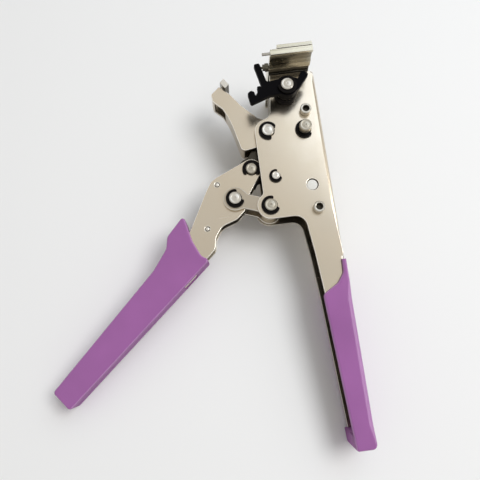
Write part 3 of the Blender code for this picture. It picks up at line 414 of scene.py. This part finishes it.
def purple_vinyl(tree, shader, colours):
    """Moulded vinyl: an even purple with a soft gloss, faint flow marks, edges painted paler for
    wear and a painted highlight, and painted shade in the parting line.
    """
    place = add_node(tree, "TexCoord").outputs["Object"]
    flow = add_node(tree, "TexNoise", {"Vector": place, "Scale": per_metre(22),
                                       "Detail": 2.0}).outputs["Fac"]
    # Edges painted paler, for wear and a painted highlight
    rubbed_and_highlit = add_node(tree, "Attribute", attribute_name="edge").outputs["Fac"]
    wear_and_highlight = add_node(tree, "Math", {0: rubbed_and_highlit, 1: 0.6}, operation="MULTIPLY").outputs[0]
    tint = add_node(tree, "Mix", {0: wear_and_highlight, 6: (*colours.purple, 1), 7: (*colours.purple_wear_and_highlight, 1)},
                    data_type="RGBA").outputs[2]
    shade = add_node(tree, "MapRange", {"Value": flow, "From Min": 0.3, "From Max": 0.7,
                                        "To Min": 0.93, "To Max": 1.06}).outputs["Result"]
    tone = add_node(tree, "Mix", {0: 1.0, 6: tint, 7: shade},
                    data_type="RGBA", blend_type="MULTIPLY").outputs[2]
    peel = add_node(tree, "TexNoise", {"Vector": place, "Scale": per_metre(2.5),
                                       "Detail": 1.0}).outputs["Fac"]
    relief = add_node(tree, "Bump", {"Height": peel, "Strength": 0.08,
                                     "Distance": 0.1 * MM}).outputs["Normal"]
    gloss = add_node(tree, "MapRange", {"Value": flow, "To Min": 0.15,
                                        "To Max": 0.24}).outputs["Result"]
    # The mould is polished but for its upright walls, which are matt so that the grip comes away
    wall = add_node(tree, "Attribute", attribute_name="wall").outputs["Fac"]
    rough = add_node(tree, "Math", {0: wall, 1: 0.45, 2: gloss},
                     operation="MULTIPLY_ADD").outputs[0]
    # Painted shade in the parting line
    connect(tree, shader, {"Base Color": marked(tree, tone, "painted_shade", colours.painted_shade),
                           "Roughness": rough, "Normal": relief,
                           "IOR": 1.52, "Specular IOR Level": 0.36})


def matt_paper(tree, shader, colours):
    """Uncoated paper: pale and even, with no gloss, so that only shadows show on it."""
    connect(tree, shader, {"Base Color": (*colours.floor, 1), "Roughness": 0.9,
                           "Specular IOR Level": 0.0})


SLOT_FINISH = {
    "nickel_plate": satin_nickel,
    "ground_steel": turned_steel,
    "milled_steel": milled_tool_steel,
    "black_spring_steel": black_oxide,
    "black_nylon": moulded_nylon,
    "purple_grip": purple_vinyl,
}


def finish(build):
    """The material that a function builds, made once and named for it."""
    name = build.__name__
    made = bpy.data.materials.get(name)
    if made is None:
        made = bpy.data.materials.new(name)
        made.use_nodes = True
        tree = made.node_tree
        build(tree, tree.nodes["Principled BSDF"], bpy.context.scene.pliers_finish)
    return made


def piece(name, work, node, smooth=35, across=None, stands_in=True):
    """Make a piece of a bmesh, shaded round where it turns less than smooth, in degrees. It stands
    in for a node or adds to it, and moves with the node's body, or is left fixed in place when
    across is given; what across holds is not used."""
    if any(not edge.is_manifold for edge in work.edges):
        raise RuntimeError(name + " is not closed")
    mesh = bpy.data.meshes.new(name)
    work.to_mesh(mesh)
    work.free()
    mesh.materials.append(finish(SLOT_FINISH[NODE_SLOT[node]]))
    mesh.shade_smooth()
    mesh.set_sharp_from_angle(angle=math.radians(smooth))
    made = bpy.data.objects.new(name, mesh)
    bpy.context.scene.collection.objects.link(made)
    even = made.modifiers.new("even_shading", "WEIGHTED_NORMAL")
    even.keep_sharp = True
    if across:
        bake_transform(made)
    else:
        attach(made, NODE_BODY[node])
    if stands_in:
        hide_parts(node)


def merged_copy(node):
    """A copy of a solid with its loose triangles joined into whole faces."""
    work = bmesh.new()
    work.from_mesh(frame["nodes"][node].data)
    bmesh.ops.remove_doubles(work, verts=work.verts, dist=WELD)
    bmesh.ops.dissolve_limit(work, angle_limit=FLAT, verts=work.verts, edges=work.edges)
    bmesh.ops.dissolve_degenerate(work, dist=SLIVER, edges=work.edges)
    return work


def break_edges(work, width, segments=2, left_sharp=lambda edge: False):
    """Round the sharp outside edges, but for those left sharp, and mark the new faces to be painted
    paler for wear and a painted highlight.
    """
    mark = work.faces.layers.float.new("edge")
    sharp = [edge for edge in work.edges if edge.is_convex and edge.calc_face_angle() > SHARP
             and not left_sharp(edge)]
    done = bmesh.ops.bevel(work, geom=sharp, offset=width, offset_type="OFFSET", segments=segments,
                           profile=0.5, affect="EDGES", clamp_overlap=False, material=-1,
                           loop_slide=False)
    for face in done["faces"]:
        face[mark] = 1.0
    bmesh.ops.dissolve_degenerate(work, dist=TOUCH, edges=work.edges)


def slice_all(work, at, way):
    """Cut all of a bmesh along a plane, and keep both sides."""
    bmesh.ops.bisect_plane(work, geom=[*work.verts, *work.edges, *work.faces], dist=TOUCH,
                           plane_co=at, plane_no=way)


def paint_shade(work, share):
    """Mark how much painted shade darkens each face, from a number or a function of the face."""
    painted_shade = work.faces.layers.float.new("painted_shade")
    for face in work.faces:
        face[painted_shade] = share(face) if callable(share) else share


def dull_all(work, share):
    """Mark how far turned steel has dulled."""
    layer = work.verts.layers.float.new("tarnish")
    for vert in work.verts:
        vert[layer] = share


def dressed(node, width, painted_shade=0.0, **which):
    """Make a piece of a solid's own shape with its edges broken."""
    work = merged_copy(node)
    break_edges(work, width, **which)
    paint_shade(work, painted_shade)
    piece(node + "_finished", work, node)


def spun(profile, steps):
    """A bmesh turned on the Z axis from (radius, height) points, which keep their radius for lathe
    marks."""
    work = bmesh.new()
    turning = work.verts.layers.float.new("turning")
    verts = [work.verts.new((r, 0.0, h)) for r, h in profile]
    for vert in verts:
        vert[turning] = vert.co.x
    edges = [work.edges.new(pair) for pair in zip(verts, verts[1:])]
    bmesh.ops.spin(work, geom=verts + edges, cent=(0, 0, 0), axis=(0, 0, 1), angle=2 * math.pi,
                   steps=steps, use_merge=True)
    bmesh.ops.remove_doubles(work, verts=work.verts, dist=TOUCH)
    bmesh.ops.recalc_face_normals(work, faces=work.faces)
    return work


def middle(node):
    """The middle of a solid's box."""
    low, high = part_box(node)
    return (low + high) / 2


def move_to(work, at, axis="Z"):
    """Move a bmesh that was made on the Z axis to a place, with its top turned to face an axis."""
    bmesh.ops.transform(work, matrix=Matrix.Translation(at) @ TURNS[axis], verts=work.verts)


class PLIERS_OT_sheet(bpy.types.Operator):
    """Finish the folded and punched sheet: body, jaw, links and handle plates"""

    bl_idname = "pliers.sheet"
    bl_label = "Sheet metal"

    def execute(self, context):
        width = context.scene.pliers_sizes.sheet_edge
        for node in ("body_channel", "jaw_channel", "handle_plate_front", "handle_plate_back"):
            dressed(node, width, painted_shade=self.inside)
        # Painted shade all over the links
        for node in ("link_front", "link_back"):
            dressed(node, width, painted_shade=LINK_SHADE)
        return {"FINISHED"}

    @staticmethod
    def inside(face):
        """Painted shade where a face of the channel looks at its mid plane or is the spine's inner
        side.
        """
        at, way = face.calc_center_median(), face.normal
        looks_in = way.z * (at.z - MID) < -NEAR
        web = way.x < -SIDEWAYS and abs(at.z - MID) < WEB_HALF and at.x > WEB_X
        return INSIDE_SHADE if looks_in or web else 0.0


class PLIERS_OT_grips(bpy.types.Operator):
    """Finish the two moulded grips, with the groove where the mould halves met"""

    bl_idname = "pliers.grips"
    bl_label = "Grips"

    def execute(self, context):
        sizes = context.scene.pliers_sizes
        for node in ("fixed_grip", "moving_grip"):
            work = merged_copy(node)
            # Edges painted paler, for wear and a painted highlight
            rubbed_and_highlit = work.faces.layers.float.new("edge")
            wall = work.faces.layers.float.new("wall")
            for face in work.faces:
                lean = abs(face.normal.z)
                face[rubbed_and_highlit] = 1.0 if WALL_LEAN < lean < FLAT_LEAN else 0.0
                face[wall] = 1.0 if lean <= WALL_LEAN else 0.0
            if node == "moving_grip":
                self.window(work)
            self.part_line(work, sizes.parting_line, node == "fixed_grip")
            piece(node + "_finished", work, node)
        self.window_plate(sizes.machined_edge)
        return {"FINISHED"}

    def window(self, work):
        """Sink the window in the wall of the moving grip."""

        def wall():
            """The wall's faces, as they are now."""
            return [face for face in work.faces if face.normal.dot(WINDOW_OUT) > SAME_WAY
                    and abs((face.calc_center_median() - WINDOW_CORNER).dot(WINDOW_OUT)) < NEAR]

        cuts = [(WINDOW_CORNER + WINDOW_RUN * along, WINDOW_RUN) for along in WINDOW_SPAN]
        cuts += [(Vector((0, 0, height)), Vector((0, 0, 1))) for height in WINDOW_RISE]
        for at, way in cuts:
            faces = wall()
            geom = {*faces, *(edge for face in faces for edge in face.edges),
                    *(vert for face in faces for vert in face.verts)}
            bmesh.ops.bisect_plane(work, geom=list(geom), dist=TOUCH, plane_co=at, plane_no=way)
        inside = []
        for face in wall():
            at = face.calc_center_median()
            along = (at - WINDOW_CORNER).dot(WINDOW_RUN)
            if WINDOW_SPAN[0] < along < WINDOW_SPAN[1] and WINDOW_RISE[0] < at.z < WINDOW_RISE[1]:
                inside.append(face)
        if not inside:
            raise RuntimeError("the moving grip has no wall for its window")
        bmesh.ops.inset_region(work, faces=inside, thickness=WINDOW_SLOPE, depth=-WINDOW_DEEP,
                               use_even_offset=True)

    def window_plate(self, edge):
        """Lay the plate that shows in the window."""
        size = (WINDOW_SPAN[1] - WINDOW_SPAN[0] - PLATE_GAP,
                WINDOW_RISE[1] - WINDOW_RISE[0] - PLATE_GAP, PLATE_THICK)
        at = WINDOW_CORNER + WINDOW_RUN * (sum(WINDOW_SPAN) / 2)
        at -= WINDOW_OUT * (WINDOW_DEEP - PLATE_THICK / 2)
        at.z = sum(WINDOW_RISE) / 2
        turn = Matrix((WINDOW_RUN, Vector((0, 0, 1)), WINDOW_OUT)).transposed().to_4x4()
        lie = Matrix.Translation(at) @ turn @ Matrix.Diagonal((*size, 1))
        work = bmesh.new()
        bmesh.ops.create_cube(work, size=1.0, matrix=lie)
        bmesh.ops.recalc_face_normals(work, faces=work.faces)
        break_edges(work, edge / 2)
        piece("grip_window_plate", work, "handle_plate_front", stands_in=False)

    def part_line(self, work, width, spine_only):
        """Press the groove of the mould's parting line round the outside, half way up, and paint
        shade in it."""
        for height in (MID - width / 2, MID, MID + width / 2):
            slice_all(work, (0, 0, height), (0, 0, 1))
        work.normal_update()
        shell = BVHTree.FromBMesh(work)
        line = []
        for vert in work.verts:
            way = vert.normal
            looks_out = not spine_only or way.x > SPINE_LEAN or way.y < -SPINE_LEAN
            if looks_out and abs(vert.co.z - MID) < TOUCH:
                if shell.ray_cast(vert.co + way * RAY_START, way, LINE_REACH)[0] is None:
                    line.append((vert, way.copy()))
        for vert, way in line:
            vert.co -= way * width / 2
        pressed = {vert for vert, way in line}
        paint_shade(work, lambda face: LINE_SHADE if pressed & set(face.verts) else 0.0)


class PLIERS_OT_pins(bpy.types.Operator):
    """Turn the pivot pins, with broken ends and grooves for their clips"""

    bl_idname = "pliers.pins"
    bl_label = "Pins"

    def execute(self, context):
        sizes = context.scene.pliers_sizes
        edge = sizes.pin_edge
        for node, *_, dull in CLIPPED_PINS:
            at = middle(node)
            points = frame["nodes"][node].data.vertices
            levels = sorted({round(v.co.z, 6) for v in points})
            low, head_top, seat, groove_top, high = levels
            radius, head_r = (max((v.co.xy - at.xy).length for v in points
                                  if abs(v.co.z - level) < TOUCH) for level in (high, low))
            groove_r = radius - GROOVE_DEPTH
            ring = [radius * (RING_AT + RING_WIDE * step / 2) for step in range(3)]
            centre = high - CENTRE_DEEP
            profile = [(0, centre), (CENTRE_R * CENTRE_FLAT, centre), (CENTRE_R, high),
                       (ring[0], high), (ring[1], high - RING_DEEP), (ring[2], high),
                       (radius - edge, high), (radius, high - edge), (radius, groove_top),
                       (groove_r, groove_top), (groove_r, seat), (radius, seat), (radius, head_top),
                       (head_r, head_top), (head_r, low + edge), (head_r - edge, low), (0, low)]
            work = spun(profile, sizes.round_steps)
            dull_all(work, dull)
            move_to(work, (at.x, at.y, 0))
            piece(node + "_finished", work, node)
        return {"FINISHED"}


class PLIERS_OT_clips(bpy.types.Operator):
    """Stamp the open retaining clips in the pins' grooves"""

    bl_idname = "pliers.clips"
    bl_label = "Clips"

    def execute(self, context):
        edge = context.scene.pliers_sizes.clip_edge
        for node, clip, clip_r, opening, _ in CLIPPED_PINS:
            low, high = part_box(clip)
            at = middle(node)
            inner = min((v.co.xy - at.xy).length for v in frame["nodes"][clip].data.vertices)
            work = bmesh.new()
            face = work.faces.new([work.verts.new((x, y, low.z))
                                   for x, y in self.outline(inner, clip_r * MM)])
            raised = bmesh.ops.extrude_face_region(work, geom=[face], use_keep_orig=True)["geom"]
            top = [g for g in raised if isinstance(g, bmesh.types.BMVert)]
            bmesh.ops.translate(work, vec=(0, 0, high.z - low.z), verts=top)
            bmesh.ops.recalc_face_normals(work, faces=work.faces)
            break_edges(work, edge)
            swing = Matrix.Rotation(math.radians(opening + CLIP_OPENING / 2), 4, "Z")
            bmesh.ops.transform(work, matrix=swing, verts=work.verts)
            move_to(work, (at.x, at.y, 0))
            piece(clip + "_finished", work, clip)
        return {"FINISHED"}

    def outline(self, inner, outer):
        """Points round a flat open ring with rounded ends: a strip that is bent round the pin."""
        bend, half = (inner + outer) / 2, (outer - inner) / 2
        length = math.radians(360 - CLIP_OPENING) * bend
        corner = half * CLIP_CORNER
        end, side = length - corner, half - corner
        strip = [(corner + (length - 2 * corner) * step / CLIP_STEPS, -half)
                 for step in range(1, CLIP_STEPS)]
        strip += [(end + corner * math.sin(a), -side - corner * math.cos(a)) for a in QUARTER]
        strip += [(end + corner * math.cos(a), side + corner * math.sin(a)) for a in QUARTER]
        strip += [(length - along, -across) for along, across in strip]
        return [((bend + across) * math.cos(along / bend), (bend + across) * math.sin(along / bend))
                for along, across in strip]


class PLIERS_OT_screws(bpy.types.Operator):
    """Make the cap screws with their hexagon sockets"""

    bl_idname = "pliers.screws"
    bl_label = "Screws"

    def execute(self, context):
        sizes = context.scene.pliers_sizes
        edge, steps = sizes.screw_edge, sizes.round_steps
        for node, axis in SCREWS.items():
            low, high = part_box(node)
            at = middle(node)
            spread = high - low
            head_r = spread.x / 2
            length = spread.y if axis == "Y" else spread.z
            profile = [(SOCKET_FLAT + SOCKET_RIM, 0), (head_r - edge, 0), (head_r, -edge),
                       (head_r, -SCREW_HEAD), (SCREW_SHANK_R, -SCREW_HEAD),
                       (SCREW_SHANK_R, -length), (0, -length)]
            work = spun(profile, steps)
            mouth = [e for e in work.edges if e.is_boundary]
            hexagon = bmesh.ops.create_circle(work, segments=steps, radius=SOCKET_FLAT)["verts"]
            for vert in hexagon:
                turn = math.atan2(vert.co.y, vert.co.x) % math.radians(60) - math.radians(30)
                vert.co /= math.cos(turn)
                vert.co.z = -SOCKET_SINK
            flats = list({e for v in hexagon for e in v.link_edges})
            bmesh.ops.bridge_loops(work, edges=mouth + flats)
            deep = bmesh.ops.extrude_edge_only(work, edges=flats)["geom"]
            floor_verts = [g for g in deep if isinstance(g, bmesh.types.BMVert)]
            bmesh.ops.translate(work, vec=(0, 0, -SOCKET_DEEP), verts=floor_verts)
            bmesh.ops.holes_fill(work, edges=[e for e in work.edges if e.is_boundary], sides=0)
            bmesh.ops.recalc_face_normals(work, faces=work.faces)
            dull_all(work, SCREW_TARNISH)
            paint_shade(work, self.in_socket)
            top = Vector((at.x, high.y, at.z)) if axis == "Y" else Vector((at.x, at.y, high.z))
            move_to(work, top, axis)
            piece(node + "_finished", work, node)
        return {"FINISHED"}

    @staticmethod
    def in_socket(face):
        """Painted shade in the socket; the rest of the screw has none."""
        at = face.calc_center_median()
        return SOCKET_SHADE if at.xy.length < SOCKET_REACH and at.z > -SCREW_HEAD else 0.0


class PLIERS_OT_rivets(bpy.types.Operator):
    """Turn the rivets of the moving handle, with domed ends"""

    bl_idname = "pliers.rivets"
    bl_label = "Rivets"

    def execute(self, context):
        steps = context.scene.pliers_sizes.round_steps
        for node in ("upper_rivet", "lower_rivet"):
            low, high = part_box(node)
            at = middle(node)
            radius = (high.x - low.x) / 2
            shoulder = high.z - RIVET_RISE
            dome = [(radius * math.sin(a), shoulder + RIVET_RISE * math.cos(a)) for a in QUARTER]
            foot = [(r, low.z + high.z - h) for r, h in reversed(dome)]
            work = spun(dome + foot, steps)
            move_to(work, (at.x, at.y, 0))
            piece(node + "_finished", work, node, smooth=50)
        return {"FINISHED"}


class PLIERS_OT_table(bpy.types.Operator):
    """Finish the milled table with its guide, pad and post, and the press bar of the jaw"""

    bl_idname = "pliers.table"
    bl_label = "Table"

    def execute(self, context):
        width = context.scene.pliers_sizes.machined_edge
        low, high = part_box("tape_table")

        def at_locator(edge):
            """True for the locator's hole, and for the edge that it comes close to."""
            return edge.calc_length() < LOCATOR_EDGE or all(
                v.co.x < low.x + NEAR and v.co.z > high.z - NEAR for v in edge.verts)

        def underneath(face):
            """Painted shade under the table; its top, its end faces and its sides get only a
            little.
            """
            at, way = face.calc_center_median(), face.normal
            from_end = (high.z - low.z) / 2 - abs(at.z - MID)
            if way.y > TABLE_TOP or from_end < OPEN_END or abs(way.x) > SIDEWAYS:
                return OPEN_SHADE
            return next(share for reach, share in UNDER_TABLE if from_end < reach)

        dressed("tape_table", width, painted_shade=underneath, left_sharp=at_locator)
        for node, share in MACHINED_SHADE.items():
            dressed(node, width, painted_shade=self.on_sides if node == "press_nose" else share)
        return {"FINISHED"}

    @staticmethod
    def on_sides(face):
        """Painted shade round the sides of the press bar; its ends have none."""
        return 0.0 if abs(face.normal.z) > NOSE_END else MACHINED_SHADE["press_nose"]


class PLIERS_OT_lever(bpy.types.Operator):
    """Finish the moulded clamp lever"""

    bl_idname = "pliers.lever"
    bl_label = "Lever"

    def execute(self, context):
        work = merged_copy("tape_lever")
        # A cut across the hub takes the place of the long seams from the bore to the outline
        slice_all(work, (LEVER_PIVOT[0], 0, 0), (1, 0, 0))
        seams = [e for e in work.edges
                 if e.calc_length() > SEAM_LONG and e.calc_face_angle() < SEAM_FLAT]
        bmesh.ops.dissolve_edges(work, edges=seams)
        break_edges(work, context.scene.pliers_sizes.moulded_edge, segments=3)
        piece("tape_lever_finished", work, "tape_lever")
        return {"FINISHED"}


def wire_coil(axis, radius, turns, start, low):
    """Points up a coil round an upright axis."""
    points = []
    for step in range(round(turns * COIL_STEPS) + 1):
        angle = math.radians(start + step * 360 / COIL_STEPS)
        points.append((axis[0] + radius * math.cos(angle), axis[1] + radius * math.sin(angle),
                       low + WIRE_PITCH * step / COIL_STEPS))
    return points


def bent_wire(route):
    """A bmesh of round wire along a smooth route, closed at both ends."""
    curve = bpy.data.curves.new("wire", "CURVE")
    curve.dimensions = "3D"
    curve.bevel_depth = WIRE / 2
    curve.bevel_resolution = 3
    curve.resolution_u = 6
    curve.use_fill_caps = True
    spline = curve.splines.new("BEZIER")
    spline.bezier_points.add(len(route) - 1)
    for point, at in zip(spline.bezier_points, route):
        point.co = at
        point.handle_left_type = point.handle_right_type = "AUTO"
    holder = bpy.data.objects.new("wire", curve)
    bpy.context.scene.collection.objects.link(holder)
    mesh = holder.evaluated_get(bpy.context.evaluated_depsgraph_get()).to_mesh()
    work = bmesh.new()
    work.from_mesh(mesh)
    bpy.data.objects.remove(holder, do_unlink=True)
    bmesh.ops.remove_doubles(work, verts=work.verts, dist=TOUCH)
    bmesh.ops.recalc_face_normals(work, faces=work.faces)
    return work


class PLIERS_OT_springs(bpy.types.Operator):
    """Wind the lever's spring and the opening spring"""

    bl_idname = "pliers.springs"
    bl_label = "Springs"

    def execute(self, context):
        coil = wire_coil(LEVER_PIVOT, **LEVER_COIL)
        low, top = coil[0][2], coil[-1][2]
        work = bent_wire([(*LEVER_FOOT, low), *coil, (*LEVER_TOP, top)])
        piece("lever_spring_wire", work, "lever_spring", smooth=60,
              across=("body", "lever", (*LEVER_PIVOT, low), (*LEVER_PIVOT, top)))
        coil = wire_coil(SPRING_POST, **OPENING_COIL)
        low, top = coil[0][2], coil[-1][2]
        leg = [(x * MM, y * MM, top) for x, y in OPENING_LEG]
        work = bent_wire([(*OPENING_FOOT, low), *coil, *leg])
        piece("opening_spring_wire", work, "opening_spring", smooth=60)
        return {"FINISHED"}


class PLIERS_OT_bushes(bpy.types.Operator):
    """Finish the bushes, washers and spacers that keep the plates apart"""

    bl_idname = "pliers.bushes"
    bl_label = "Bushes"

    def execute(self, context):
        width = context.scene.pliers_sizes.machined_edge
        for node in ("jaw_bush_back", "jaw_bush_front", "jaw_washer_back", "jaw_washer_front",
                     "link_spacer", "lower_spacer"):
            dressed(node, width)
        return {"FINISHED"}


class PLIERS_OT_stage(bpy.types.Operator):
    """Lay the floor, light the room and place the camera"""

    bl_idname = "pliers.stage"
    bl_label = "Stage"

    def execute(self, context):
        scene = context.scene
        scene.view_settings.view_transform = "Standard"
        self.lay_floor(scene)
        self.hang_lamps(scene)
        self.make_room(scene)
        self.place_camera(scene)
        return {"FINISHED"}

    def lay_floor(self, scene):
        """Lay the floor through the points that the tool rests on."""
        first, second, third = (Vector(foot) for foot in FEET)
        up = (third - first).cross(second - first).normalized()
        work = bmesh.new()
        bmesh.ops.create_grid(work, x_segments=1, y_segments=1, size=FLOOR_HALF)
        lean = up.to_track_quat("Z", "Y").to_matrix().to_4x4()
        bmesh.ops.transform(work, matrix=Matrix.Translation(first) @ lean, verts=work.verts)
        mesh = bpy.data.meshes.new("floor")
        work.to_mesh(mesh)
        work.free()
        floor = bpy.data.objects.new("floor", mesh)
        scene.collection.objects.link(floor)
        mesh.materials.append(finish(matt_paper))

    def hang_lamps(self, scene):
        """Hang the lamps: the key makes the shadows, the edge light the gleams along rounded edges,
        and the plate mirrors the window."""
        stage = scene.pliers_stage
        key = self.hang_lamp(scene, "key_light", *KEY_LAMP, stage.key_power)
        key.visible_glossy = False
        edge = self.hang_lamp(scene, "edge_light", *EDGE_LAMP, stage.edge_power)
        edge.visible_diffuse = False
        window = self.hang_lamp(scene, "window_light", *WINDOW_LAMP, stage.window_power)
        window.data.color = WINDOW_TINT

    def hang_lamp(self, scene, name, way, distance, size, power):
        """Hang a round lamp that faces the tool."""
        way = Vector(way).normalized()
        lamp = bpy.data.lights.new(name, "AREA")
        lamp.shape = "DISK"
        lamp.size = size
        lamp.energy = power
        light = bpy.data.objects.new(name, lamp)
        light.location = Vector(LAMP_AIM) + way * distance
        light.rotation_mode = "QUATERNION"
        light.rotation_quaternion = way.to_track_quat("Z", "Y")
        scene.collection.objects.link(light)
        return light

    def make_room(self, scene):
        """Make a pale room, brighter towards the window and dark low down. The camera and the metal
        see a plain backdrop instead."""
        stage = scene.pliers_stage
        world = bpy.data.worlds.new("room")
        world.use_nodes = True
        scene.world = world
        tree = world.node_tree
        way = add_node(tree, "TexCoord").outputs["Generated"]
        rise = add_node(tree, "SeparateXYZ", {"Vector": way}).outputs["Z"]
        side = Vector(WINDOW_SIDE).normalized()
        towards = add_node(tree, "VectorMath", {0: way, 1: side},
                           operation="DOT_PRODUCT").outputs["Value"]
        fades = ((towards, GLOW_FADE, stage.room, stage.room_window),
                 (rise, LOW_FADE, stage.horizon, 1.0),
                 (rise, SWEEP_FADE, stage.backdrop, 1.0),
                 (rise, CEILING_FADE, 1.0, stage.ceiling))
        glow, low, sweep, ceiling = (
            add_node(tree, "MapRange", {"Value": value, "From Min": start, "From Max": end,
                                        "To Min": first, "To Max": last},
                     interpolation_type="SMOOTHSTEP").outputs["Result"]
            for value, (start, end), first, last in fades)
        strength = add_node(tree, "Math", {0: glow, 1: low}, operation="MULTIPLY").outputs[0]
        sky = tree.nodes["Background"]
        connect(tree, sky, {"Color": (*ROOM_TINT, 1), "Strength": strength})
        bright = add_node(tree, "Math", {0: sweep, 1: ceiling}, operation="MULTIPLY").outputs[0]
        plain = add_node(tree, "Background", {"Color": (*scene.pliers_finish.floor, 1),
                                              "Strength": bright})
        path = add_node(tree, "LightPath").outputs
        seen = path["Is Camera Ray"]
        for other in ("Is Glossy Ray", "Is Transmission Ray"):
            seen = add_node(tree, "Math", {0: seen, 1: path[other]}, operation="MAXIMUM").outputs[0]
        both = add_node(tree, "MixShader", {0: seen, 1: sky.outputs[0], 2: plain.outputs[0]})
        tree.links.new(both.outputs[0], tree.nodes["World Output"].inputs["Surface"])

    def place_camera(self, scene):
        """Place the camera that looks down on the tool."""
        at, aim = Vector(CAMERA_AT), Vector(CAMERA_AIM)
        back = (at - aim).normalized()
        roll = math.radians(CAMERA_ROLL)
        up = Vector((math.sin(roll), math.cos(roll), 0.0))
        up = (up - back * up.dot(back)).normalized()
        turn = Matrix((up.cross(back), up, back)).transposed()
        lens = bpy.data.cameras.new("camera")
        lens.lens = lens.sensor_width = LENS
        lens.clip_start = CAMERA_NEAR
        camera = bpy.data.objects.new("camera", lens)
        camera.matrix_world = Matrix.Translation(at) @ turn.to_4x4()
        scene.collection.objects.link(camera)
        scene.camera = camera


class PLIERS_PT_panel(bpy.types.Panel):
    """The steps that dress the pliers"""

    bl_idname = "PLIERS_PT_panel"
    bl_label = "Clip-setting pliers"
    bl_space_type = "VIEW_3D"
    bl_region_type = "UI"
    bl_category = "Pliers"

    def draw(self, context):
        for step in STEPS:
            self.layout.operator(step.bl_idname)


STEPS = (PLIERS_OT_sheet, PLIERS_OT_grips, PLIERS_OT_pins, PLIERS_OT_clips, PLIERS_OT_screws,
         PLIERS_OT_rivets, PLIERS_OT_table, PLIERS_OT_lever, PLIERS_OT_springs, PLIERS_OT_bushes,
         PLIERS_OT_stage)
SETTINGS = {"pliers_sizes": PliersSizes, "pliers_finish": PliersFinish, "pliers_stage": PliersStage}


def register():
    for kind in (*SETTINGS.values(), *STEPS, PLIERS_PT_panel):
        bpy.utils.register_class(kind)
    for name, kind in SETTINGS.items():
        setattr(bpy.types.Scene, name, PointerProperty(type=kind))


def unregister():
    for name in SETTINGS:
        delattr(bpy.types.Scene, name)
    for kind in reversed((*SETTINGS.values(), *STEPS, PLIERS_PT_panel)):
        bpy.utils.unregister_class(kind)


def main():
    register()
    for step in STEPS:
        group, name = step.bl_idname.split(".")
        getattr(getattr(bpy.ops, group), name)()


if __name__ == "__main__":
    main()
